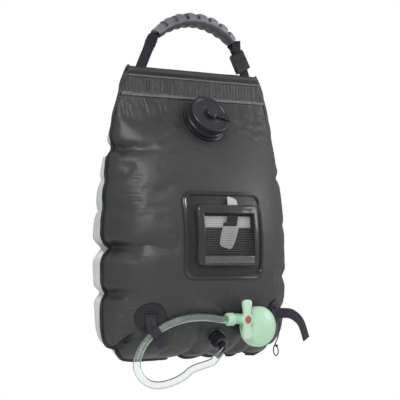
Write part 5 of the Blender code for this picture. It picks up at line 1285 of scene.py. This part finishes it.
def film_finish(name, color, roughness, cover):
    """Clear film: mostly see-through, with a full gloss and faint cloudy patches."""
    look = bpy.data.materials.new(name)
    node = node_maker(look)
    cloud = node("TexNoise", Scale=45.0, Detail=5.0, Vector=node("TexCoord").outputs["Object"])
    shader = node(
        "BsdfPrincipled", Base_Color=(*color, 1), Specular_IOR_Level=1.0, Coat_Weight=0.6,
        Coat_Roughness=0.08,
        Roughness=node("MapRange", To_Min=roughness, To_Max=roughness + 0.16, Value=cloud),
        Alpha=node("MapRange", To_Min=cover * 0.8, To_Max=cover * 1.2, Value=cloud),
        Normal=node("Bump", Strength=0.4, Distance=0.0012, Height=cloud),
    )
    node("OutputMaterial", Surface=shader)
    return look


def net_mesh():
    """The six-sided net with its plain selvedge, laid in the window behind the tray's front."""
    bm = bmesh.new()
    row_step = NET_CELL * math.sqrt(3) / 2
    columns = int(WINDOW_WIDTH / NET_CELL) + 3
    rows = int(WINDOW_HEIGHT / row_step) + 3
    corner_of = {}
    for row in range(rows):
        for column in range(columns):
            mid_x = (column - columns / 2 + (row % 2) / 2) * NET_CELL
            mid_z = (row - rows / 2) * row_step
            if abs(mid_x) > WINDOW_WIDTH / 2 + 0.002 or abs(mid_z) > WINDOW_HEIGHT / 2 + 0.002:
                continue
            corners = []
            for turn in [math.radians(60 * step + 30) for step in range(6)]:
                x = mid_x + NET_CELL / math.sqrt(3) * math.cos(turn)
                z = mid_z + NET_CELL / math.sqrt(3) * math.sin(turn)
                key = (round(x * 20000), round(z * 20000))
                if key not in corner_of:
                    x = math.copysign(min(WINDOW_WIDTH / 2 + NET_MARGIN, abs(x)), x)
                    z = math.copysign(min(WINDOW_HEIGHT / 2 + NET_MARGIN, abs(z)), z)
                    corner_of[key] = bm.verts.new(on_front(x, POCKET_Z + WINDOW_RISE + z, TRAY_LIFT - 0.0022))
                corners.append(corner_of[key])
            bm.faces.new(corners)
    bmesh.ops.wireframe(bm, faces=bm.faces[:], thickness=NET_THREAD, use_replace=True, use_even_offset=False)
    return mesh_of(bm)


pocket_gloss = film_finish("pocket_film", (0.30, 0.31, 0.31), 0.12, 0.05)
film_mesh = draped_film(POCKET_WIDTH - 0.008, POCKET_HEIGHT - 0.008, 0.015, 0.0014, 0.0016)
piece("pocket_film", film_mesh, 60.0, pocket_gloss, "bag", "clear_pvc", "pocket_sheet")
glossy_rim = plastic_finish("glossy_rim", (0.028, 0.028, 0.030), 0.16, 0.0002, 260.0, 0.12, 0.55)
rim_mesh = draped_rim(POCKET_WIDTH, POCKET_HEIGHT, POCKET_CORNER, RIM_PROFILE, 0.0001, 0.0002)
piece("pocket_rim", rim_mesh, 55.0, glossy_rim, "bag", "black_sheet", "pocket_binding")
tray_gloss = plastic_finish("tray_gloss", (0.030, 0.031, 0.032), 0.20, 0.0004, 120.0, 0.25, 0.45)
tray_mesh = draped_rim(TRAY_WIDTH, TRAY_HEIGHT, TRAY_CORNER, TRAY_PROFILE)
piece("tray_front", tray_mesh, 55.0, tray_gloss, "bag", "black_sheet", "pocket_tray")
window_sheet = sheet_finish("window_sheet", (0.004, 0.004, 0.005), 0.70, 0.00008)
window_mesh = draped_film(WINDOW_WIDTH + 0.012, WINDOW_HEIGHT + 0.016, 0.004, 0.0006, 0.0002)
piece("window_back", window_mesh, 60.0, window_sheet, "bag", "black_sheet")
black_net = braid_finish("black_net", (0.19, 0.19, 0.195), 700.0)
piece("net", net_mesh(), 60.0, black_net, "bag", "webbing", "pocket_mesh")

# What lies in the pocket: a pale reading strip on the sheet and a blank white card tag, which stands
# behind the net with its end above the tray and has a dark printed-over middle.
TAG_HALF_WIDTHS = (
    (-0.2870, 0.0045), (-0.2885, 0.0092), (-0.3115, 0.0100), (-0.3305, 0.0100), (-0.3320, 0.0150),
    (-0.3560, 0.0140), (-0.3655, 0.0120), (-0.3690, 0.0060),
)
TAG_TOP_Z = TAG_HALF_WIDTHS[0][0]
TAG_FOOT_Z = TAG_HALF_WIDTHS[-1][0]
TAG_TOP_X = 0.0125
TAG_FOOT_X = -0.0065
TAG_LIFT = 0.0058
TAG_INK = (-0.3335, -0.3010)
CARD = 0.0004


def card_finish(name, color, dark_low=0.0, dark_high=0.0):
    """Matt card with faint fibres; between two heights on the object it is inked dark."""
    look = bpy.data.materials.new(name)
    node = node_maker(look)
    place = node("TexCoord").outputs["Object"]
    fibre = node("TexNoise", Scale=380.0, Vector=place)
    height = node("SeparateXYZ", Vector=place).outputs["Z"]
    above = node("Math", operation="GREATER_THAN", a=height, b=dark_low)
    below = node("Math", operation="LESS_THAN", a=height, b=dark_high)
    inked = node("Math", operation="MULTIPLY", a=above, b=below)
    paper = tinted(node, fibre, color, 0.9, 1.0)
    shader = node(
        "BsdfPrincipled", Roughness=0.55, Normal=node("Bump", Distance=0.0001, Height=fibre),
        Base_Color=node("MixRGB", Fac=inked, Color1=paper, Color2=(0.015, 0.015, 0.017, 1)),
    )
    node("OutputMaterial", Surface=shader)
    return look


def hanging_tag():
    """The card from its top corner to its foot. It leans to the left and is bent a little forward."""
    rows = []
    for (high_z, high_half), (low_z, low_half) in zip(TAG_HALF_WIDTHS, TAG_HALF_WIDTHS[1:]):
        for share in (0, 0.2, 0.4, 0.6, 0.8):
            z = high_z + (low_z - high_z) * share
            half = high_half + (low_half - high_half) * share
            along = (TAG_TOP_Z - z) / (TAG_TOP_Z - TAG_FOOT_Z)
            middle = TAG_TOP_X + (TAG_FOOT_X - TAG_TOP_X) * along ** 1.6
            bend = 0.0012 * math.sin(along * 5)
            row = []
            for side in (-1, -0.5, 0, 0.5, 1):
                tilted = z - 0.30 * side * half
                row.append(on_front(middle + side * half, tilted, TAG_LIFT + bend - 0.0008 * side * side))
            rows.append(row)
    return skin(rows, open_side=True, wall=CARD)


refinish("thermometer_strip", card_finish("strip_card", (0.72, 0.73, 0.73)))
tag_card = card_finish("tag_card", (0.97, 0.97, 0.96), *TAG_INK)
piece("card_tag", hanging_tag(), 50.0, tag_card, "bag", "white_card", "white_tag")

# The tray's bands: a folded band across its open top, which the tag sticks out of, and a clear weld
# across its foot. Both are pressed flat in the middle and rolled at their edges.
STRIP_PROFILE = (
    (0.0, 0.0), (0.02, 0.7), (0.08, 1.0), (0.2, 0.8), (0.5, 0.72), (0.8, 0.8), (0.92, 1.0), (0.98, 0.7),
    (1.0, 0.0),
)


def draped_strip(low_z, high_z, half_width, lift, height):
    rows = []
    for share, rise in STRIP_PROFILE:
        z = low_z + (high_z - low_z) * share
        row = []
        for across in [2 * step / 48 - 1 for step in range(49)]:
            x = half_width * across
            ends = min(1.0, (1 - abs(across)) * 30)
            row.append(on_front(x, z, lift + (height * rise + 0.0004 * wavering(x * 60, z * 50, 1.0)) * ends))
        rows.append(row)
    return skin(rows, open_side=True)


band_film = film_finish("band_film", (0.11, 0.115, 0.115), 0.14, 0.85)
foot_mesh = draped_strip(POCKET_Z - 0.0450, POCKET_Z - 0.0335, 0.0500, TRAY_LIFT - 0.0006, 0.0018)
piece("tray_foot_band", foot_mesh, 55.0, band_film, "bag", "clear_pvc")
head_mesh = draped_strip(POCKET_Z + 0.0352, POCKET_Z + 0.0440, 0.0530, TRAY_LIFT - 0.0002, 0.0012)
piece("tray_head_band", head_mesh, 55.0, tray_gloss, "bag", "black_sheet")

# The strap patches: round black PVC discs, 45 mm across, welded near both lower corners. A raised
# weld runs round each, and a moulded bar with two slots in its middle carries the strap.
PATCH_X = 0.1235
PATCH_Z = -0.478
PATCH_RADIUS = 0.0225
PATCH_PROFILE = (
    (1.0, 0.0003), (1.0, 0.0015), (0.985, 0.0022), (0.93, 0.0025), (0.88, 0.0023), (0.85, 0.0020),
    (0.80, 0.0019), (0.60, 0.0020), (0.40, 0.0021), (0.20, 0.0021), (0.02, 0.0021),
)


def patch_disc(side):
    rings = []
    for share, rise in PATCH_PROFILE:
        ring = []
        for turn in [2 * math.pi * step / 96 for step in range(96)]:
            x = side * PATCH_X + share * PATCH_RADIUS * math.cos(turn)
            z = PATCH_Z + share * PATCH_RADIUS * math.sin(turn)
            ring.append(on_front(x, z, rise))
        rings.append(ring)
    return skin(rings, "last")


def front_frame(x, z):
    """A frame on the front sheet: local Z points out of the bag, local X across it."""
    here = on_front(x, z, 0)
    along_x = on_front(x + 0.001, z, 0) - here
    along_z = on_front(x, z + 0.001, 0) - here
    outward = along_x.cross(along_z).normalized()
    across = (along_x - along_x.dot(outward) * outward).normalized()
    return axes_at(across, outward.cross(across), outward, here)


patch_sheet = sheet_finish("patch_sheet", (0.012, 0.012, 0.015), 0.26, 0.00010)
piece("left_disc", patch_disc(-1), 40.0, patch_sheet, "bag", "black_sheet", "left_patch")
piece("right_disc", patch_disc(1), 40.0, patch_sheet, "bag", "black_sheet", "right_patch")
left_place = front_frame(-PATCH_X, PATCH_Z)
right_place = front_frame(PATCH_X, PATCH_Z)
for bar_number, bar_rise in ((1, 0.0085), (2, 0.0050)):
    rounded_bar(
        f"left_slot_bar_{bar_number}", (0.0215, 0.0017, 0.0022), left_place, (0.0010, bar_rise, 0.0026),
        0.0008, "bag",
    )

# The left strap: 17 mm hook-and-loop webbing. It comes out of the patch's slot, goes round the hose and
# closes on itself, with a short tail below. The hose slides in it.
STRAP_WIDTH = 0.017
STRAP_THICKNESS = 0.0015
STRAP_LIFT = 0.0014 + 0.00075 + 0.0005
STRAP_STEPS = 64
STRAP_SEAM_SIDE = 0.0065
HOSE_AT_STRAP = Vector((-0.11943, -0.06424, -0.50222))
HOSE_WAY = Vector((0.79268, -0.19938, 0.57612))
left_normal = left_place.col[2].to_3d()
strap_outward = (left_normal - HOSE_WAY * left_normal.dot(HOSE_WAY)).normalized()
strap_upward = HOSE_WAY.cross(strap_outward).normalized()
if strap_upward.z < 0:
    strap_upward = -strap_upward
strap_hold = HOSE_RADIUS + STRAP_THICKNESS / 2 + 0.0004
strap_route = [
    left_place @ Vector((0, PATCH_RADIUS / 4, STRAP_LIFT)),
    left_place @ Vector((0, -PATCH_RADIUS / 7, STRAP_LIFT + STRAP_THICKNESS)),
]
for step in range(9):
    turn = math.radians(190.0) * (1 / 2 - step / 8)
    strap_reach = math.cos(turn) * strap_outward + math.sin(turn) * strap_upward
    strap_route.append(HOSE_AT_STRAP + strap_hold * strap_reach)
for tail_drop, tail_share in ((0.0095, 1 / 5), (0.0190, 1 / 3)):
    strap_route.append(
        HOSE_AT_STRAP - strap_upward * (strap_hold + tail_drop) - strap_outward * strap_hold * tail_share
    )
strap_line = smooth_route(strap_route, STRAP_STEPS)
on_patch = (HOSE_WAY - left_normal * left_normal.dot(HOSE_WAY)).normalized()
strap_cross = [on_patch.lerp(HOSE_WAY, min(1.0, number / 19)).normalized() for number in range(STRAP_STEPS)]
strap_webbing = webbing_finish("strap_webbing", (0.062, 0.056, 0.078), WEBBING_RIB)
left_loop = band(strap_line, strap_cross, STRAP_WIDTH, STRAP_THICKNESS)
piece("left_loop", left_loop, 50.0, strap_webbing, "bag", "webbing", "left_strap")
strap_seams = []
for seam_side in (-STRAP_SEAM_SIDE, STRAP_SEAM_SIDE):
    strap_seams.append([*[strap_line[end] + strap_cross[end] * seam_side for end in (10, 22)], strap_outward])
sewn_rows("left_strap_stitches", strap_seams, "bag")

# The right strap: the same webbing, open. It stands out sideways from its patch and bends down under
# its own weight, with its cut end melted straight.
RIGHT_STRAP_STEPS = (
    (0.010, -0.008, 0.001),
    (0.022, -0.014, -0.002),
    (0.038, -0.016, -0.016),
    (0.052, -0.013, -0.044),
)
RIGHT_STRAP_TURN = Vector((0.90, 0.15, 0.35))
right_root = right_place @ Vector((PATCH_RADIUS * 0.35, 0, STRAP_LIFT + 0.0002))
open_line = smooth_route([right_root, *[right_root + Vector(step) for step in RIGHT_STRAP_STEPS]], 60)
open_cross = [Vector((0, 0, 1)).lerp(RIGHT_STRAP_TURN, number / 59).normalized() for number in range(60)]
open_strap = band(open_line, open_cross, STRAP_WIDTH, STRAP_THICKNESS)
piece("open_strap", open_strap, 50.0, strap_webbing, "strap", "webbing", "right_strap")
root_line = [
    right_place @ Vector((PATCH_RADIUS * share, 0, STRAP_LIFT - 0.0002 - 0.0006 * abs(share)))
    for share in (-0.62, -0.45, -0.2, 0.05, 0.3, 0.42)
]
root_tab = band(root_line, [right_place.col[1].to_3d()] * 6, STRAP_WIDTH, STRAP_THICKNESS)
piece("right_strap_root", root_tab, 50.0, strap_webbing, "bag", "webbing")

# The drain: a round flange welded low on the front, and an elbow with a hose barb that a ribbed nut
# holds. All three are black plastic, and the nut turns by hand.
DRAIN_PLACE = axes_at(rightward, (0, -0.54214, 0.84029), (0, -0.84029, -0.54214), (0, -0.06008, -0.51192))
NUT_RADIUS = 0.0125
NUT_RIBS = 16
NUT_RIB_DEPTH = 0.0012
NUT_LOW = 0.0057
NUT_HIGH = 0.0227
ELBOW_RADIUS = 0.0056
ELBOW_CORNER = Vector((0, -0.08529, -0.52818))
BARB_RADIUS = 0.0048
BARB_STEP = 0.0044
FLANGE_PROFILE = (
    (0, 0.0056), (0.0113, 0.0056), (0.0113, 0.0028), (0.0160, 0.0028), (0.0180, 0.0014), (0.0180, 0.0001),
)
NUT_PROFILE = (
    (0.0060, NUT_HIGH), (0.0092, NUT_HIGH), (0.0100, NUT_HIGH - 0.0004), (0.0122, NUT_HIGH - 0.0012),
    (NUT_RADIUS, NUT_HIGH - 0.0030), (NUT_RADIUS, NUT_LOW + 0.0040), (NUT_RADIUS, NUT_LOW + 0.0012),
    (NUT_RADIUS - 0.0006, NUT_LOW), (0.0060, NUT_LOW),
)


def ribbed_nut(radius, height, turn):
    if radius < NUT_RADIUS - 0.0012 or not NUT_LOW + 0.0008 < height < NUT_HIGH - 0.0012:
        return radius
    return radius - NUT_RIB_DEPTH * (0.5 - 0.5 * math.cos(turn * NUT_RIBS)) ** 2.2


flange_mesh = revolved(softened(FLANGE_PROFILE, 0.0005), 96, DRAIN_PLACE)
piece("drain_flange", flange_mesh, 32.0, black_plastic, "bag", "black_plastic", "outlet_flange")
nut_mesh = revolved(softened(NUT_PROFILE, 0.0006), 192, DRAIN_PLACE, ribbed_nut)
piece("drain_nut", nut_mesh, 34.0, black_plastic, "drain_nut", "black_plastic", "outlet_nut")
stem_start = DRAIN_PLACE @ Vector((0, 0, 0.0058))
stem_line = smooth_route([
    stem_start, stem_start.lerp(ELBOW_CORNER, 0.5), ELBOW_CORNER - DRAIN_PLACE.col[2].to_3d() * 0.0030,
    ELBOW_CORNER + BARB_DIRECTION * 0.0032, ELBOW_CORNER + BARB_DIRECTION * 0.0070,
], 36)
stem_radii = [ELBOW_RADIUS] * 30 + [ELBOW_RADIUS - 0.0008 * step / 5 for step in range(6)]
barb_line = []
barb_radii = []
for ridge in range(3):
    for share, rise in ((0.0, 0.0), (0.05, 0.0012), (0.15, 0.0012), (0.95, 0.0)):
        barb_line.append(ELBOW_CORNER + BARB_DIRECTION * (0.0078 + BARB_STEP * (ridge + share)))
        barb_radii.append(BARB_RADIUS + rise)
elbow_mesh = joined([swept(stem_line, stem_radii, 32), swept(barb_line, barb_radii, 32)])
piece("drain_elbow", elbow_mesh, 35.0, black_plastic, "bag", "black_plastic", "outlet_elbow")

# The shower head: pale green moulded plastic. The dome's smooth back faces out and its drilled face is
# turned to the bag. A short neck joins it to the tap's housing, and a ribbed collar grips the hose.
HEAD_PLACE = axes_at(rightward, (0, 0, 1), forward, (0.0636, -0.0940, -0.4965))
TAP_PLACE = axes_at(rightward, (0, 0, 1), forward, (0.0246, -0.0940, -0.4830))
INLET_PLACE = TAP_PLACE @ Matrix.Translation((0, 0, 0.0026)) @ Matrix.Rotation(-math.pi / 2, 4, "Y")
DOME_RADIUS = 0.0330
DOME_HEIGHT = 0.0165
DOME_TURNS = [step / 32 * math.pi / 2 for step in range(33)]
DOME_PROFILE = [
    *[(DOME_RADIUS * math.sin(turn), DOME_HEIGHT * math.cos(turn)) for turn in DOME_TURNS],
    (0.03300, -0.0030), (0.03285, -0.0034), (0.03285, -0.0040), (0.03300, -0.0044), (0.03300, -0.0080),
    (0.03250, -0.0085), (0.03130, -0.0085), (0.03080, -0.0080), (0.03080, -0.0054),
]
COLLAR_RADIUS = 0.0091
COLLAR_RIB_STEP = 0.0042
COLLAR_RIB = ((0.0, 0.0), (0.12, 0.0009), (0.30, 0.0014), (0.55, 0.0014), (0.75, 0.0007), (0.9, 0.0))
green_plastic = plastic_finish("green_plastic", (0.56, 0.84, 0.60), 0.30, 0.00008, 600.0, 0.05, 0.10, 0.12)
neck_line = [INLET_PLACE @ Vector((0, 0, -0.0390 + 0.0310 * step / 14)) for step in range(15)]
neck_radii = [0.0075 + 0.0022 * max(0.0, 1 - step / 6) ** 2 for step in range(15)]
dome_mesh = joined([revolved(DOME_PROFILE, 128, HEAD_PLACE), swept(neck_line, neck_radii, 48)])
piece("dome", dome_mesh, 35.0, green_plastic, "shower_head", "green_plastic", "head_dome")
refinish("head_rose", green_plastic)
collar_profile = [(0.0062, 0.0276), (0.0086, 0.0276)]
for rib in range(3):
    for share, rise in COLLAR_RIB:
        collar_profile.append((COLLAR_RADIUS + rise, 0.0272 - COLLAR_RIB_STEP * (rib + share)))
collar_profile += [(COLLAR_RADIUS, 0.0146), (0.0080, 0.0145), (0.0076, 0.0145)]
collar_mesh = revolved(collar_profile, 96, INLET_PLACE)
piece("hose_collar", collar_mesh, 40.0, green_plastic, "shower_head", "green_plastic", "head_collar")

# The tap: an upright housing across the neck. Its lever has two flared wings and a red-brown screw
# cover in the middle, and it turns the spindle by a quarter turn.
TAP_RADIUS = 0.0085
HOUSING_PROFILE = (
    (0, 0.0165), (0.0081, 0.0165), (TAP_RADIUS, 0.0161), (TAP_RADIUS, 0.0140), (0.0090, 0.0135),
    (0.0090, 0.0125), (TAP_RADIUS, 0.0120), (TAP_RADIUS, -0.0101), (0.0081, -0.0105), (0, -0.0105),
)
INLET_RADIUS = 0.0075
LEVER_REACH = 0.0315
LEVER_TIP = 0.00825
LEVER_WAIST = 0.00625
LEVER_WAIST_REACH = 0.0090
LEVER_CORNER = 0.0053
LEVER_HUB = 0.0105
LEVER_HUB_TURN = math.radians(53.5)
LEVER_PAD = 0.0009
# The lever's layers from below: inset of the outline and height above the housing's foot.
LEVER_LAYERS = (
    (0.0010, 0.0166), (0.0003, 0.0168), (0.0, 0.0174), (0.0, 0.0212), (0.0003, 0.0219), (0.0010, 0.0223),
    (0.0030, 0.0224),
)
PLUG_PROFILE = ((0, 0.0247), (0.0048, 0.0246), (0.0058, 0.0240), (0.0058, 0.0226), (0, 0.0226))
RING_PROFILE = ((0.0056, 0.0238), (0.0068, 0.0234), (0.0070, 0.0226), (0.0056, 0.0225), (0.0056, 0.0238))


def lever_mesh():
    """The lever's outline in layers, with softly rounded edges and thicker finger pads at both tips."""
    wing = []
    straight = LEVER_REACH - LEVER_CORNER
    for turn in [math.pi / 2 * (1 - step / 12) for step in range(13)]:
        half_width = LEVER_TIP + LEVER_CORNER * (math.cos(turn) - 1)
        wing.append((half_width, straight + LEVER_CORNER * math.sin(turn)))
    for share in [step / 8 for step in range(1, 8)]:
        half_width = LEVER_TIP + (LEVER_WAIST - LEVER_TIP) * soft_step(share, 0, 1)
        wing.append((half_width, straight + (LEVER_WAIST_REACH - straight) * share))
    hub_turns = [LEVER_HUB_TURN * (1 - step / 8) for step in range(17)]
    hub = [(LEVER_HUB * math.cos(turn), LEVER_HUB * math.sin(turn)) for turn in hub_turns]
    half = wing + hub + [(x, -y) for x, y in wing[::-1]]
    rings = []
    for inset, height in LEVER_LAYERS:
        ring = []
        for x, y in half + [(-x, -y) for x, y in half]:
            pad = LEVER_PAD * soft_step(abs(y), 0.016, 0.030) if height > 0.02 else 0.0
            scale = 1 - inset / max(0.006, math.hypot(x, y))
            ring.append((x * scale, y * scale, height + pad))
        rings.append(ring)
    data = skin(rings, "first last")
    data.transform(TAP_PLACE)
    return data


inlet_line = [INLET_PLACE @ Vector((0, 0, 0.0040 + 0.0180 * step / 12)) for step in range(13)]
inlet_radii = [0.0082] + [INLET_RADIUS] * 12
housing_mesh = joined([
    revolved(softened(HOUSING_PROFILE, 0.0004), 96, TAP_PLACE), swept(inlet_line, inlet_radii, 48),
])
piece("tap_housing", housing_mesh, 35.0, green_plastic, "shower_head", "green_plastic", "valve_body")
refinish("valve_spindle", green_plastic)
lever_green = plastic_finish("lever_green", (0.60, 0.86, 0.65), 0.33, 0.00008, 600.0, 0.05, 0.08, 0.12)
piece("lever", lever_mesh(), 38.0, lever_green, "tap", "lever_green", "tap_lever")
plug_red = plastic_finish("plug_red", (0.40, 0.14, 0.085), 0.38, 0.0001, 500.0, 0.12)
plug_mesh = revolved(softened(PLUG_PROFILE, 0.0005), 64, TAP_PLACE)
piece("screw_cover", plug_mesh, 35.0, plug_red, "tap", "plug_red", "tap_plug")
plug_rim_peach = plastic_finish("plug_rim_peach", (0.72, 0.50, 0.40), 0.42, 0.0001, 500.0, 0.06)
ring_mesh = revolved(softened(RING_PROFILE, 0.0003), 64, TAP_PLACE)
piece("cover_ring", ring_mesh, 35.0, plug_rim_peach, "tap", "plug_red")
